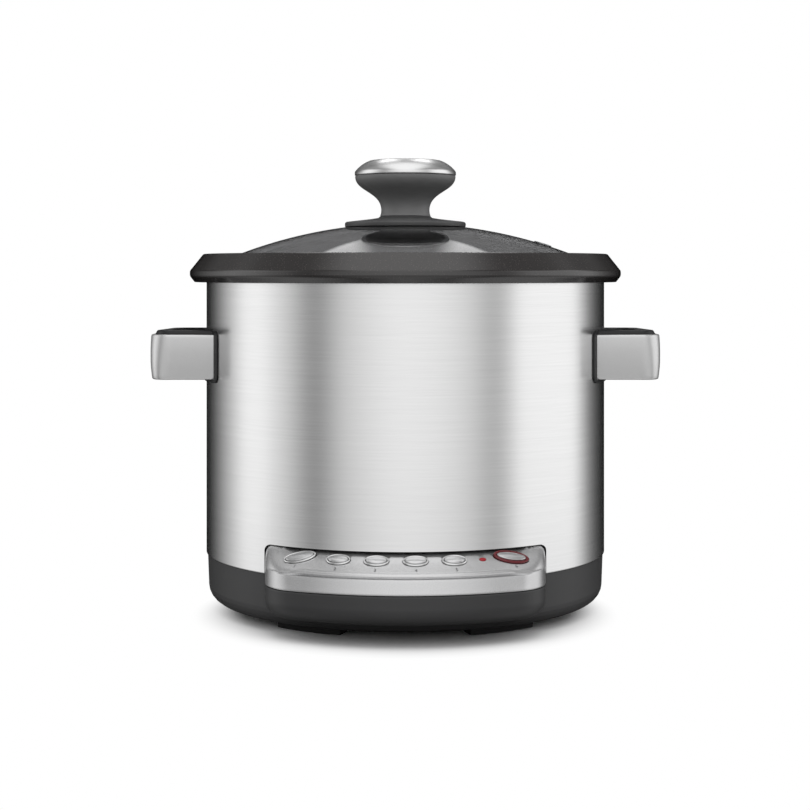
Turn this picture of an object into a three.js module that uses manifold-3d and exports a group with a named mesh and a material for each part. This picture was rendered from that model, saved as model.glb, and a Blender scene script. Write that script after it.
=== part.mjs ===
// A countertop multicooker: steel body, lift-out bowl, glass lid with a knob, two side
// handles and a front panel with six buttons. Millimetres, +Z up. The origin lies on the
// floor under the middle of the whole object, with the panel towards -Y. The body's own
// axis stands a little behind it, because the panel comes out further than the rim does.
import * as THREE from "three";
import { mergeVertices } from "three/addons/utils/BufferGeometryUtils.js";
import Module from "manifold-3d";

const wasm = await Module();
wasm.setup();

// Clearances
const seatGap = 0.3; // between two pieces that rest on each other
const slideGap = 0.5; // round a piece that travels
const cutRun = 6; // how far a cutter runs past what it cuts
const weldDistance = 1e-4;
const degree = Math.PI / 180;
const quarterTurn = Math.PI / 2;
const halfTurn = Math.PI;
const fullTurn = Math.PI * 2;

// Facets
const bodySteps = 40; // round the body, bowl and lid
const knobSteps = 24;
const panelSteps = 72; // the cone that the panel's top is cut from
const panelArcSteps = 5; // in half of each arc
const ovalSteps = 8; // round half an oval
const smallSides = 8;
const wireSides = 6;
const filletSteps = 2;
const domeSteps = 4;
const facetGap = 0.4; // more room where a flat face lies on the faceted dome

// Feet and base housing
const footDrop = 5; // clear height under the base
const footRecess = 2;
const footInset = 16; // of its outer edge from the base's outside
const footWidth = 12;
const footMiddleAngle = 31.5; // in degrees, from the front or the rear
const footSpreadAngle = 23;
const baseInset = 1; // of the base's outside from the shell's
const baseWallHeight = 33;
const baseFloorThickness = 4;
const baseCornerRadius = 9;
const baseLipWall = 2.4;
const baseLipHeight = 10;
const trayRise = 8; // underside of the panel's tray above the base's underside
const trayWall = 3;
const trayRounding = 6;

// Bottom cover, on its ledge in the base floor
const coverFootGap = 6.3; // between its edge and the feet
const coverThickness = 2.2;
const coverLedgeWidth = 10.7;
const coverVentInner = 28;
const coverVentOuter = 72;
const coverVentWidth = 3;
const coverVentCount = 12;
const coverScrewCount = 3;
const coverScrewAngle = 30;
const coverScrewRadius = 1.6;
const coverScrewHeadRadius = 3;
const coverScrewHeadHeight = 1.4;
const coverScrewLength = 8;
const coverBossRadius = 5;
const coverBossHeight = 6;

// Steel shell
const shellSpace = 14; // from the liner's outside to the shell's
const shellWall = 1;
const shellHeight = 189.6;
const shellFlangeWidth = 9;

// Liner and top ring, stacked on the shell's flange
const linerSpace = 4.7; // round the bowl
const linerWall = 0.8;
const linerFlangeInset = 3; // from the shell's outside
const linerCentreHole = 10;
const ringThickness = 1.4;
const ringOverhang = 1;
const ringSkirtDepth = 8;
const ringSkirtWall = 2;

// Cooking bowl
const bowlRadius = 118; // inside
const bowlWall = 2.5;
const bowlDepth = 134; // from the lid's ledge to the floor
const bowlCornerRadius = 16;
const bowlLedgeThickness = 3;
const bowlLedgeMargin = 1.2; // outside the lid band
const rimOverhang = 11.5; // beyond the shell
const rimCrownInset = 8.5; // from the rim's outside
const rimCrownHeight = 11; // above the lid's ledge
const rimShoulderHeight = 0; // where the outside turns down, above the ledge
const rimSkirtDrop = 7.5; // below the ledge
const rimSheet = 2.8;
const rimInsideShare = 1.3; // of the sheet, from the crown down to the hollow under it
const rimShoulderShare = 0.9; // of the sheet, from the shoulder up to where it leans in

// Glass lid and its band
const glassSphereRadius = 304;
const glassThickness = 4;
const glassOverlap = 10; // beyond the bowl's inside
const glassHoleRadius = 5;
const bandWall = 1.6;
const bandLip = 1;
const bandGrip = 5; // how far its lips reach over the glass
const ventInset = 30; // from the glass's edge
const ventFlangeRadius = 6.5;
const ventFlangeThickness = 1.2;
const ventShaftRadius = 4;
const ventBore = 1.5;

// Knob
const flangeRadius = 43;
const flangeEdgeHeight = 2.6;
const flangeEdgeRounding = 1.8;
const flangeRise = 2.8; // from the rounded edge to the neck
const neckRadius = 17.1;
const neckHeight = 4;
const gripRadius = 35.5;
const gripHeight = 30.4;
const gripNeckPullShare = 0.53; // how upright the curve leaves the neck
const gripRimPullShare = 0.5;
const gripCurveSteps = 8;
const capEdgeRadius = 35.6;
const capBandHeight = 1.4;
const capHeight = 10;
const capTopRadius = 24.4;
const capBulge = 0.9;
const capSpigotRadius = 12;
const capSpigotHeight = 4;
const washerRadius = 28;
const washerDepth = 8;
const washerPocketRadius = 6;
const washerPocketDepth = 3;
const knobScrewRadius = 2.5;
const knobScrewHeadRadius = 4.5;
const knobScrewHeadHeight = 2.6;
const knobScrewReach = 12; // into the grip

// Heating plate, element and sensor
const plateInset = 20; // from the bowl's inside
const plateThickness = 11;
const plateHoleRadius = 16.5;
const elementInset = 28; // from the plate's edge
const elementTubeRadius = 4;
const elementGapAngle = 30;
const terminalRadius = 3;
const terminalLength = 24;
const standoffCount = 3;
const standoffInset = 12; // from the plate's edge
const standoffRadius = 4;
const standoffHeight = 10;
const standoffSides = 6;
const sensorRadius = 12;
const sensorHeight = 12;
const sensorCrown = 2;
const sensorWall = 1.5;
const guideClearance = 0.6;
const guideWall = 1.7;
const guideFlangeRadius = 24;
const guideFlangeThickness = 1.5;
const guideDrop = 5; // from the plate's top to the guide's top
const guideLeadHole = 3;
const springRadius = 8;
const springWire = 0.8;
const springTurns = 5;
const springStepsPerTurn = 7;
const fuseRadius = 2.5;
const fuseLength = 18;
const fusePlace = 42;
const fuseSaddleWidth = 8;
const fuseSaddleLength = 10;
const fuseSaddleThickness = 1.2;

// Front panel
const panelStandout = 20; // of its outer face beyond the shell
const panelHalfWidth = 91;
const panelCornerRadius = 20;
const panelBandHeight = 10.2;
const panelGrooveHeight = 0.8;
const panelGrooveDepth = 0.8;
const panelEdgeInset = 2.6; // of the top face's edge behind the front band
const panelEdgeHeight = 12.4;
const panelTopHeight = 23.8;
const panelTopCorner = 4;
const panelSink = 4.7; // of its seat below the top of the base
const panelWall = 2.2;
const panelShelf = 5; // inward of the shell's inside

// Buttons. Angles are from the front, positive towards +X.
const buttonUpShare = 0.65; // place up the sloping face
const buttonNames = ["power", "program_1", "program_2", "program_3", "program_4", "start"];
const buttonAngles = [-27.1, -16.7, -7.1, 2.5, 12.1, 27.2];
const buttonTurns = [20, 0, 0, 0, 0, -15];
const powerHalfLength = 9.8;
const powerHalfHeight = 4.3;
const programHalfLength = 8;
const programHalfHeight = 4.5;
const startHalfLength = 12;
const startHalfHeight = 5.4;
const bezelWidth = 1;
const startRingWidth = 2.2;
const bezelLip = 0.7;
const bezelBarrelInset = 0.5;
const buttonTravel = 1.5;
const buttonProud = 0.9; // above its bezel
const buttonFlangeExtra = 1.1;
const buttonFlangeThickness = 1.2;
const buttonStemRadius = 1.6;
const lampAngle = 19.4;
const lampHalfLength = 2.2;
const lampHalfHeight = 1.4;
const lampProud = 0.4;
const stripDepth = 11; // of the circuit strip below the sloping face
const stripThickness = 1.6;
const stripHalfHeight = 7;
const stripEndGap = 13; // from the panel's ends
const stripPostRadius = 2;
const stripPostAngles = [-21.9, -11.9, 7.3];

// Power board and leads. What stands on the board has its place from the middle of the
// board's front edge.
const boardHalfWidth = 42;
const boardDepth = 60;
const boardInletGap = 17.5; // between the board and the inlet
const boardThickness = 1.6;
const boardPostHeight = 6;
const boardPostRadius = 3;
const boardPostX = 34;
const boardPostInset = 6;
const boardPostRearInset = 18;
const relaySize = [12, 26, 16];
const relayPlace = [-32, 25];
const transformerSize = [30, 22, 24];
const transformerPlace = [0, 46];
const plugBlockSize = [20, 8, 9];
const capacitorRadius = 8;
const capacitorHeight = 18;
const capacitorPlace = [32, 20];
const panelLeadRadius = 2.2;
const panelLeadAngle = 7;
const heaterLeadRadius = 1.8;
const heaterLeadBow = 5;
const leadSteps = 10;

// Mains inlet at the rear
const inletHalfWidth = 14;
const inletHalfHeight = 9.5;
const inletHeight = 18.5; // of its middle above the base's underside
const inletDepth = 24;
const inletFlange = 3;
const inletFlangeThickness = 2.5;
const inletWall = 2;
const inletCavityDepth = 18;
const inletBossMargin = 5;
const inletBossStandout = 2.5;
const pinLength = 11;
const pinHalfWidth = 1;
const pinHalfHeight = 2;
const pinSpacing = 7;

// Handles
const handleStandout = 35; // beyond the shell
const handleHalfDepth = 55;
const handleHeight = 31.4;
const handleDrop = 51.9; // from the shell's top to the handle's middle
const handleCorner = 14;
const handleCrown = 1.2;
const handleCrownSteps = 3;
const strapThickness = 2;
const gripThickness = 14;
const gripCorner = 8;
const collarThickness = 3.7;
const collarMargin = 5;
const collarHeightMargin = 2;
const collarCorner = 5;
const handleScrewRadius = 1.8;
const handleScrewHeadRadius = 3.5;
const handleScrewHeadHeight = 2.5;
const handleScrewReach = 14; // past the collar

// Heights that follow, from the floor up
const baseUnderside = footDrop;
const baseFloorTop = baseUnderside + baseFloorThickness;
const baseTop = baseUnderside + baseWallHeight;
const shellBottom = baseTop + seatGap;
const shellTop = shellBottom + shellHeight;
const linerFlangeBottom = shellTop + seatGap;
const linerFlangeTop = linerFlangeBottom + linerWall;
const ringBottom = linerFlangeTop + seatGap;
const ringTop = ringBottom + ringThickness;
const ledgeUnderside = ringTop + seatGap;
const ledgeTop = ledgeUnderside + bowlLedgeThickness;
const bowlFloorTop = ledgeTop - bowlDepth;
const bowlUnderside = bowlFloorTop - bowlWall;
const plateTop = bowlUnderside - seatGap;
const plateUnderside = plateTop - plateThickness;
const linerFloorTop = plateUnderside - standoffHeight - seatGap * 2;
const linerFloorBottom = linerFloorTop - linerWall;
const coverTop = baseUnderside + coverThickness;
const boardBottom = coverTop + boardPostHeight + seatGap;
const boardTop = boardBottom + boardThickness;
const handleMiddle = shellTop - handleDrop;

// Radii that follow, from the bowl outwards
const bowlOutside = bowlRadius + bowlWall;
const linerInside = bowlOutside + linerSpace;
const linerRadius = linerInside + linerWall;
const ringInside = linerInside - seatGap - ringSkirtWall;
const shellRadius = linerRadius + shellSpace;
const shellInside = shellRadius - shellWall;
const linerFlangeRadius = shellRadius - linerFlangeInset;
const lipOutside = shellInside - seatGap;
const lipInside = lipOutside - baseLipWall;
const baseRadius = shellRadius - baseInset;
const footOuterRadius = baseRadius - footInset;
const footInnerRadius = footOuterRadius - footWidth;
const coverRadius = footInnerRadius - coverFootGap;
const rimOuterRadius = shellRadius + rimOverhang;
const rimCrownRadius = rimOuterRadius - rimCrownInset;
const panelFrontRadius = shellRadius + panelStandout;
const handleReach = shellRadius + handleStandout;
const collarInside = shellRadius + seatGap;
const collarOutside = collarInside + collarThickness;
const glassRadius = bowlRadius + glassOverlap;
const bandInside = glassRadius + seatGap;
const bandOutside = bandInside + bandWall;
const ledgeOutside = bandOutside + bowlLedgeMargin;
const ventPlace = glassRadius - ventInset;
const plateRadius = bowlRadius - plateInset;
const elementRadius = plateRadius - elementInset;
const standoffPlace = plateRadius - standoffInset;

// The board's ends, forward of the inlet
const boardRear = baseRadius + inletBossStandout - inletDepth - boardInletGap;
const boardFront = boardRear - boardDepth;

// The glass: its band's lower lip rests on the bowl's ledge, which sets the sphere's centre.
const bandDrop = glassThickness + seatGap + bandLip;
const bandBottom = ledgeTop + seatGap;
const sphereCentre = bandBottom - sphereHeight(-bandDrop, bandOutside);
function sphereHeight(offset, radius) {
  return Math.sqrt((glassSphereRadius + offset) ** 2 - radius ** 2);
}
function domeHeight(offset, radius) {
  return sphereCentre + sphereHeight(offset, radius);
}

// The panel's sloping face runs from the shell down to the edge behind the front band.
const panelBottom = baseTop - panelSink + seatGap;
const panelTop = panelBottom + panelTopHeight;
const panelEdgeRadius = panelFrontRadius - panelEdgeInset;
const panelEdge = panelBottom + panelEdgeHeight;
const slopeRun = panelEdgeRadius - shellRadius;
const slopeDrop = panelTop - panelEdge;
const slopeAngle = Math.atan2(slopeDrop, slopeRun);
const stripHalfWidth = panelHalfWidth - stripEndGap;

// The whole object's middle lies this far from the body's axis.
const bodyShift = (panelFrontRadius - rimOuterRadius) / 2;

// Materials
function finish(color, roughness, metalness) {
  return new THREE.MeshStandardMaterial({ color, roughness, metalness });
}
const brushedSteel = finish(0xc9cbcc, 0.32, 1);
const plainSteel = finish(0xb4b6b8, 0.4, 1);
const polishedSteel = finish(0xe6e7e8, 0.12, 1);
const aluminium = finish(0xbfc0c2, 0.5, 1);
const silverPlastic = finish(0xc6c8ca, 0.35, 0.7);
const darkPlastic = finish(0x2e2f31, 0.5, 0);
const blackPlastic = finish(0x1a1a1b, 0.45, 0);
const bowlCoating = finish(0x2b2523, 0.4, 0.2);
const rubber = finish(0x151515, 0.85, 0);
const redPlastic = finish(0x8e1420, 0.35, 0);
const redLamp = finish(0xc01525, 0.2, 0);
const circuitGreen = finish(0x2f6a3c, 0.6, 0);
const ivory = finish(0xd8d2c2, 0.7, 0);
const glass = finish(0x5d6264, 0.05, 0);
glass.transparent = true;
glass.opacity = 0.45;

// A closed geometry as a solid that can be joined and cut
function toSolid(geometry) {
  const plain = geometry.index ? geometry.toNonIndexed() : geometry.clone();
  plain.deleteAttribute("normal");
  plain.deleteAttribute("uv");
  const merged = mergeVertices(plain, weldDistance);
  const vertProperties = merged.getAttribute("position").array;
  const triVerts = new Uint32Array(merged.index.array);
  return new wasm.Manifold(new wasm.Mesh({ numProp: 3, vertProperties, triVerts }));
}

function toMesh(name, solid, material) {
  const { vertProperties, triVerts } = solid.getMesh();
  const geometry = new THREE.BufferGeometry();
  geometry.setAttribute("position", new THREE.BufferAttribute(vertProperties, 3));
  geometry.setIndex(new THREE.BufferAttribute(triVerts, 1));
  geometry.computeVertexNormals();
  const mesh = new THREE.Mesh(geometry, material);
  mesh.name = name;
  return mesh;
}

function united(solids) {
  return solids.reduce((sum, next) => sum.add(next));
}

// A profile of [radius, height] points turned round the Z axis. It closes on itself
// unless it starts and ends on the axis.
function turned(profile, steps) {
  const points = profile.map(([radius, height]) => new THREE.Vector2(radius, height));
  if (THREE.ShapeUtils.area(points) < 0) points.reverse();
  const onAxis = points[0].x === 0 && points[points.length - 1].x === 0;
  if (!onAxis) points.push(points[0].clone());
  return toSolid(new THREE.LatheGeometry(points, steps).rotateX(quarterTurn));
}

// A shape as plain points, without the repeats where two of its curves meet
function pointedShape(shape, curveSegments) {
  const points = shape.getPoints(curveSegments);
  const apart = (point, i) => point.distanceTo(points.at(i - 1)) > weldDistance;
  return new THREE.Shape(points.filter(apart));
}

function prism(shape, bottom, top, curveSegments) {
  const options = { depth: top - bottom, bevelEnabled: false };
  const geometry = new THREE.ExtrudeGeometry(pointedShape(shape, curveSegments), options);
  return toSolid(geometry.translate(0, 0, bottom));
}

function cylinder(radius, bottom, top, sides) {
  const geometry = new THREE.CylinderGeometry(radius, radius, top - bottom, sides);
  return toSolid(geometry.rotateX(quarterTurn).translate(0, 0, (bottom + top) / 2));
}

function block([x0, x1], [y0, y1], [z0, z1]) {
  const geometry = new THREE.BoxGeometry(x1 - x0, y1 - y0, z1 - z0);
  return toSolid(geometry.translate((x0 + x1) / 2, (y0 + y1) / 2, (z0 + z1) / 2));
}

function tube(curve, radius, sides, steps) {
  const section = new THREE.Shape(circlePoints(radius, sides));
  const options = { steps, bevelEnabled: false, extrudePath: curve };
  return toSolid(new THREE.ExtrudeGeometry(section, options));
}

function circlePoints(radius, sides) {
  return Array.from({ length: sides }, (_, i) => {
    const angle = (i / sides) * fullTurn;
    return new THREE.Vector2(radius * Math.cos(angle), radius * Math.sin(angle));
  });
}

function placed(solid, matrix) {
  return solid.transform(matrix.elements);
}

function moved(solid, x, y, z) {
  return placed(solid, new THREE.Matrix4().makeTranslation(x, y, z));
}

function ovalShape(halfLength, halfHeight) {
  const shape = new THREE.Shape();
  shape.absellipse(0, 0, halfLength, halfHeight, 0, fullTurn);
  return shape;
}

function oval(halfLength, halfHeight, bottom, top) {
  return prism(ovalShape(halfLength, halfHeight), bottom, top, ovalSteps);
}

function roundedRectangle(x0, x1, y0, y1, radius) {
  const shape = new THREE.Shape();
  shape.absarc(x0 + radius, y0 + radius, radius, halfTurn, halfTurn + quarterTurn);
  shape.absarc(x1 - radius, y0 + radius, radius, -quarterTurn, 0);
  shape.absarc(x1 - radius, y1 - radius, radius, 0, quarterTurn);
  shape.absarc(x0 + radius, y1 - radius, radius, quarterTurn, halfTurn);
  shape.closePath();
  return shape;
}

function ringSector(inner, outer, startAngle, endAngle) {
  const shape = new THREE.Shape();
  shape.absarc(0, 0, outer, startAngle, endAngle);
  shape.absarc(0, 0, inner, endAngle, startAngle, true);
  shape.closePath();
  return shape;
}

// Points [radius, height] along the dome, offset outwards from the glass's outer face
function domePoints(offset, fromRadius, toRadius, steps) {
  return Array.from({ length: steps + 1 }, (_, i) => {
    const radius = fromRadius + ((toRadius - fromRadius) * i) / steps;
    return [radius, domeHeight(offset, radius)];
  });
}

// Points on a rounding, from one angle to another, about a centre
function roundingPoints([centreRadius, centreHeight], radius, fromAngle, toAngle) {
  return Array.from({ length: filletSteps + 1 }, (_, i) => {
    const angle = fromAngle + ((toAngle - fromAngle) * i) / filletSteps;
    return [centreRadius + radius * Math.cos(angle), centreHeight + radius * Math.sin(angle)];
  });
}

// The panel in plan: straight sides, a front arc about the body's axis, round corners
function panelShape(inset) {
  const half = panelHalfWidth - inset;
  const front = panelFrontRadius - inset;
  const corner = panelCornerRadius - inset;
  const cornerX = half - corner;
  const cornerY = -Math.sqrt((front - corner) ** 2 - cornerX ** 2);
  const side = Math.atan2(-cornerY, cornerX);
  const back = -shellInside / 2;
  const shape = new THREE.Shape();
  shape.moveTo(half, back);
  shape.lineTo(-half, back);
  shape.absarc(-cornerX, cornerY, corner, halfTurn, halfTurn + side);
  shape.absarc(0, 0, front, halfTurn + side, fullTurn - side);
  shape.absarc(cornerX, cornerY, corner, fullTurn - side, fullTurn);
  shape.closePath();
  return shape;
}

// The part of the front that lies under the panel's sloping face, lowered by a depth
function underSlope(depth) {
  const lower = depth / Math.cos(slopeAngle);
  const outRun = panelFrontRadius + cutRun - shellRadius;
  const outHeight = panelTop - outRun * Math.tan(slopeAngle);
  return turned(
    [
      [0, 0],
      [panelFrontRadius + cutRun, 0],
      [panelFrontRadius + cutRun, outHeight - lower],
      [shellRadius, panelTop - lower],
      [0, panelTop - lower],
    ],
    panelSteps,
  );
}

// The panel's outline from the front, which the shell's cut-out follows
function panelWindow(gap) {
  const half = panelHalfWidth + gap;
  const shape = roundedRectangle(-half, half, -cutRun, panelTop + gap, panelTopCorner);
  const solid = prism(shape, 0, panelFrontRadius + cutRun, filletSteps);
  return placed(solid, new THREE.Matrix4().makeRotationX(quarterTurn));
}

// The frame of a button: X along the face, Y up the slope, Z outwards
function slopeFrame(angleDegrees, turnDegrees) {
  const angle = angleDegrees * degree;
  const radius = panelEdgeRadius - slopeRun * buttonUpShare;
  const height = panelEdge + slopeDrop * buttonUpShare;
  const along = new THREE.Vector3(Math.cos(angle), Math.sin(angle), 0);
  const outward = new THREE.Vector3(
    Math.sin(slopeAngle) * Math.sin(angle),
    -Math.sin(slopeAngle) * Math.cos(angle),
    Math.cos(slopeAngle),
  );
  const up = new THREE.Vector3().crossVectors(outward, along);
  const frame = new THREE.Matrix4().makeBasis(along, up, outward);
  frame.setPosition(radius * Math.sin(angle), -radius * Math.cos(angle), height);
  return frame.multiply(new THREE.Matrix4().makeRotationZ(turnDegrees * degree));
}

// Half sizes of each button's bezel or ring, and its width
function buttonSizes(index) {
  if (index === 0) return [powerHalfLength, powerHalfHeight, bezelWidth];
  if (index === buttonAngles.length - 1) {
    return [startHalfLength, startHalfHeight, startRingWidth];
  }
  return [programHalfLength, programHalfHeight, bezelWidth];
}

function footMiddles() {
  const front = [-1, 1].map((side) => -quarterTurn + side * footMiddleAngle * degree);
  return [...front, ...front.map((angle) => -angle)];
}

function footSolid(middle, gap, bottom, top) {
  const half = (footSpreadAngle * degree) / 2 + gap / footInnerRadius;
  const inner = footInnerRadius - gap;
  const outer = footOuterRadius + gap;
  const shape = ringSector(inner, outer, middle - half, middle + half);
  return prism(shape, bottom, top, filletSteps * 2);
}

function makeFeet() {
  const top = baseUnderside + footRecess - seatGap;
  return footMiddles().map((middle, i) =>
    toMesh(`foot_${i + 1}`, footSolid(middle, 0, 0, top), rubber),
  );
}

// Places of the cover screws: [x, y] on the cover's ledge
function coverScrewPlaces() {
  const radius = coverRadius - coverLedgeWidth / 2;
  return Array.from({ length: coverScrewCount }, (_, i) => {
    const angle = coverScrewAngle * degree + (i / coverScrewCount) * fullTurn;
    return [radius * Math.cos(angle), radius * Math.sin(angle)];
  });
}

function baseShell() {
  const openingRadius = coverRadius - coverLedgeWidth;
  const cornerCentre = [baseRadius - baseCornerRadius, baseUnderside + baseCornerRadius];
  return turned(
    [
      [coverRadius + seatGap, baseUnderside],
      ...roundingPoints(cornerCentre, baseCornerRadius, -quarterTurn, 0),
      [baseRadius, baseTop],
      [lipOutside, baseTop],
      [lipOutside, baseTop + baseLipHeight],
      [lipInside, baseTop + baseLipHeight],
      [lipInside, baseFloorTop + baseCornerRadius / 2],
      [lipInside - baseCornerRadius / 2, baseFloorTop],
      [openingRadius, baseFloorTop],
      [openingRadius, coverTop + seatGap],
      [coverRadius + seatGap, coverTop + seatGap],
    ],
    bodySteps,
  );
}

// The tray under the panel, with a rounded lower edge
function trayOutside() {
  const options = {
    depth: baseTop - baseUnderside,
    bevelThickness: trayRounding,
    bevelSize: trayRounding,
    bevelOffset: -trayRounding,
    bevelSegments: filletSteps,
  };
  const lift = baseUnderside + trayRise + trayRounding;
  const plan = pointedShape(panelShape(0), panelArcSteps);
  return toSolid(new THREE.ExtrudeGeometry(plan, options).translate(0, 0, lift));
}

function inletFrame() {
  return {
    middle: baseUnderside + inletHeight,
    face: baseRadius + inletBossStandout,
  };
}

function makeBase() {
  const { middle, face } = inletFrame();
  const seat = panelBottom - seatGap;
  const inside = turned(
    [
      [0, baseFloorTop],
      [lipInside - baseCornerRadius / 2, baseFloorTop],
      [lipInside, baseFloorTop + baseCornerRadius / 2],
      [lipInside, seat + cutRun],
      [0, seat + cutRun],
    ],
    bodySteps,
  );
  const trayInside = prism(panelShape(trayWall), baseUnderside + trayRise + trayWall,
    baseTop + cutRun, panelArcSteps);
  const trayTop = prism(panelShape(-seatGap), seat, baseTop + baseLipHeight + cutRun * 2,
    panelArcSteps);
  const bossX = inletHalfWidth + inletBossMargin;
  const boss = block([-bossX, bossX], [lipInside - inletBossMargin, face],
    [baseFloorTop, middle + inletHalfHeight + inletFlange]);
  const bossHole = block([-inletHalfWidth - seatGap, inletHalfWidth + seatGap],
    [face - inletDepth, face + cutRun],
    [middle - inletHalfHeight - seatGap, middle + inletHalfHeight + seatGap]);
  const wallOnly = trayInside.subtract(cylinder(baseRadius, 0, baseTop, bodySteps));
  let solid = trayOutside().subtract(inside).add(baseShell()).add(boss);
  solid = solid.subtract(wallOnly).subtract(trayTop).subtract(bossHole);
  for (const [x, y] of coverScrewPlaces()) {
    const bossTop = baseFloorTop + coverBossHeight;
    const post = cylinder(coverBossRadius, baseFloorTop - baseFloorThickness / 4, bossTop,
      smallSides);
    const pilot = cylinder(coverScrewRadius + seatGap, 0, bossTop - seatGap * 2, smallSides);
    solid = solid.add(moved(post, x, y, 0)).subtract(moved(pilot, x, y, 0));
  }
  const recessTop = baseUnderside + footRecess;
  for (const foot of footMiddles()) {
    solid = solid.subtract(footSolid(foot, seatGap, 0, recessTop));
  }
  return toMesh("base_housing", solid, darkPlastic);
}

function makeBottomCover() {
  let solid = cylinder(coverRadius, baseUnderside, coverTop, bodySteps);
  const slot = block([coverVentInner, coverVentOuter],
    [-coverVentWidth / 2, coverVentWidth / 2], [0, coverTop + cutRun]);
  for (let i = 0; i < coverVentCount; i++) {
    const turn = new THREE.Matrix4().makeRotationZ((i / coverVentCount) * fullTurn);
    solid = solid.subtract(placed(slot, turn));
  }
  for (const [x, y] of coverScrewPlaces()) {
    const hole = cylinder(coverScrewRadius + seatGap, 0, coverTop + cutRun, smallSides);
    const sink = cylinder(coverScrewHeadRadius + seatGap, 0,
      baseUnderside + coverScrewHeadHeight, smallSides);
    solid = solid.subtract(moved(hole, x, y, 0)).subtract(moved(sink, x, y, 0));
  }
  for (const [x, y] of boardPosts()) {
    const post = cylinder(boardPostRadius, baseUnderside + coverThickness / 2,
      coverTop + boardPostHeight, smallSides);
    solid = solid.add(moved(post, x, y, 0));
  }
  return toMesh("bottom_cover", solid, blackPlastic);
}

function makeCoverScrews() {
  const headTop = baseUnderside + coverScrewHeadHeight - seatGap;
  const headBottom = baseUnderside;
  return coverScrewPlaces().map(([x, y], i) => {
    const head = cylinder(coverScrewHeadRadius, headBottom, headTop, smallSides);
    const shank = cylinder(coverScrewRadius, headBottom, headBottom + coverScrewLength,
      smallSides);
    return toMesh(`cover_screw_${i + 1}`, moved(head.add(shank), x, y, 0), plainSteel);
  });
}

function makeShell() {
  const flangeInside = shellInside - shellFlangeWidth;
  let solid = turned(
    [
      [shellRadius, shellBottom],
      [shellRadius, shellTop],
      [flangeInside, shellTop],
      [flangeInside, shellTop - shellWall],
      [shellInside, shellTop - shellWall],
      [shellInside, shellBottom],
    ],
    bodySteps,
  );
  solid = solid.subtract(panelWindow(seatGap));
  for (const side of [-1, 1]) {
    for (const place of handleScrewPlaces()) {
      const hole = handleScrewHole(place, handleScrewRadius + seatGap);
      solid = solid.subtract(side > 0 ? hole : placed(hole, turnedAround()));
    }
  }
  return toMesh("outer_shell", solid, brushedSteel);
}

function makeLiner() {
  const solid = turned(
    [
      [linerCentreHole, linerFloorBottom],
      [linerRadius, linerFloorBottom],
      [linerRadius, linerFlangeBottom],
      [linerFlangeRadius, linerFlangeBottom],
      [linerFlangeRadius, linerFlangeTop],
      [linerInside, linerFlangeTop],
      [linerInside, linerFloorTop],
      [linerCentreHole, linerFloorTop],
    ],
    bodySteps,
  );
  const holes = terminalPlaces().map(([x, y]) =>
    moved(cylinder(terminalRadius * 2, linerFloorBottom - cutRun, linerFloorTop + cutRun,
      smallSides), x, y, 0),
  );
  return toMesh("inner_liner", solid.subtract(united(holes)), aluminium);
}

function makeTopRing() {
  const outside = shellRadius + ringOverhang;
  const skirtOutside = ringInside + ringSkirtWall;
  const skirtBottom = ringBottom - ringSkirtDepth;
  const solid = turned(
    [
      [ringInside, skirtBottom],
      [skirtOutside, skirtBottom],
      [skirtOutside, ringBottom],
      [outside, ringBottom],
      [outside, ringTop],
      [ringInside, ringTop],
    ],
    bodySteps,
  );
  return toMesh("top_ring", solid, blackPlastic);
}

function makeBowl() {
  const crown = ledgeTop + rimCrownHeight;
  const shoulder = ledgeTop + rimShoulderHeight;
  const skirtBottom = ledgeTop - rimSkirtDrop;
  const skirtRound = rimSheet / 2;
  const innerCorner = [bowlRadius - bowlCornerRadius, bowlFloorTop + bowlCornerRadius];
  const outerCorner = bowlCornerRadius + bowlWall;
  const crownInside = rimCrownRadius - (rimCrownRadius - ledgeOutside) / 2;
  const solid = turned(
    [
      [0, bowlUnderside],
      ...roundingPoints(innerCorner, outerCorner, -quarterTurn, 0),
      [bowlOutside, ledgeUnderside],
      [ledgeOutside + rimSheet, ledgeUnderside],
      [crownInside + rimSheet / 2, crown - rimSheet * rimInsideShare],
      [rimCrownRadius - rimSheet / 4, crown - rimSheet],
      [rimOuterRadius - rimSheet, shoulder - rimSheet / 2],
      [rimOuterRadius - rimSheet, skirtBottom + skirtRound],
      [rimOuterRadius - skirtRound, skirtBottom],
      [rimOuterRadius - skirtRound / 4, skirtBottom + skirtRound],
      [rimOuterRadius, shoulder],
      [rimOuterRadius - rimSheet / 2, shoulder + rimSheet * rimShoulderShare],
      [rimCrownRadius + rimSheet / 2, crown - rimSheet / 4],
      [rimCrownRadius, crown],
      [crownInside, crown - rimSheet / 4],
      [ledgeOutside, ledgeTop + rimSheet],
      [ledgeOutside, ledgeTop],
      [bowlRadius, ledgeTop],
      ...roundingPoints(innerCorner, bowlCornerRadius, 0, -quarterTurn),
      [0, bowlFloorTop],
    ],
    bodySteps,
  );
  return toMesh("cooking_bowl", solid, bowlCoating);
}

function ventFrame() {
  const tilt = Math.asin(ventPlace / glassSphereRadius);
  const frame = new THREE.Matrix4().makeRotationY(tilt);
  return frame.setPosition(ventPlace, 0, domeHeight(0, ventPlace));
}

function makeGlass() {
  const solid = turned(
    [
      ...domePoints(0, glassHoleRadius, glassRadius, domeSteps),
      ...domePoints(-glassThickness, glassHoleRadius, glassRadius, domeSteps).reverse(),
    ],
    bodySteps,
  );
  const hole = cylinder(ventShaftRadius + seatGap, -glassThickness - cutRun, cutRun, smallSides);
  return toMesh("lid_glass", solid.subtract(placed(hole, ventFrame())), glass);
}

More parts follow.
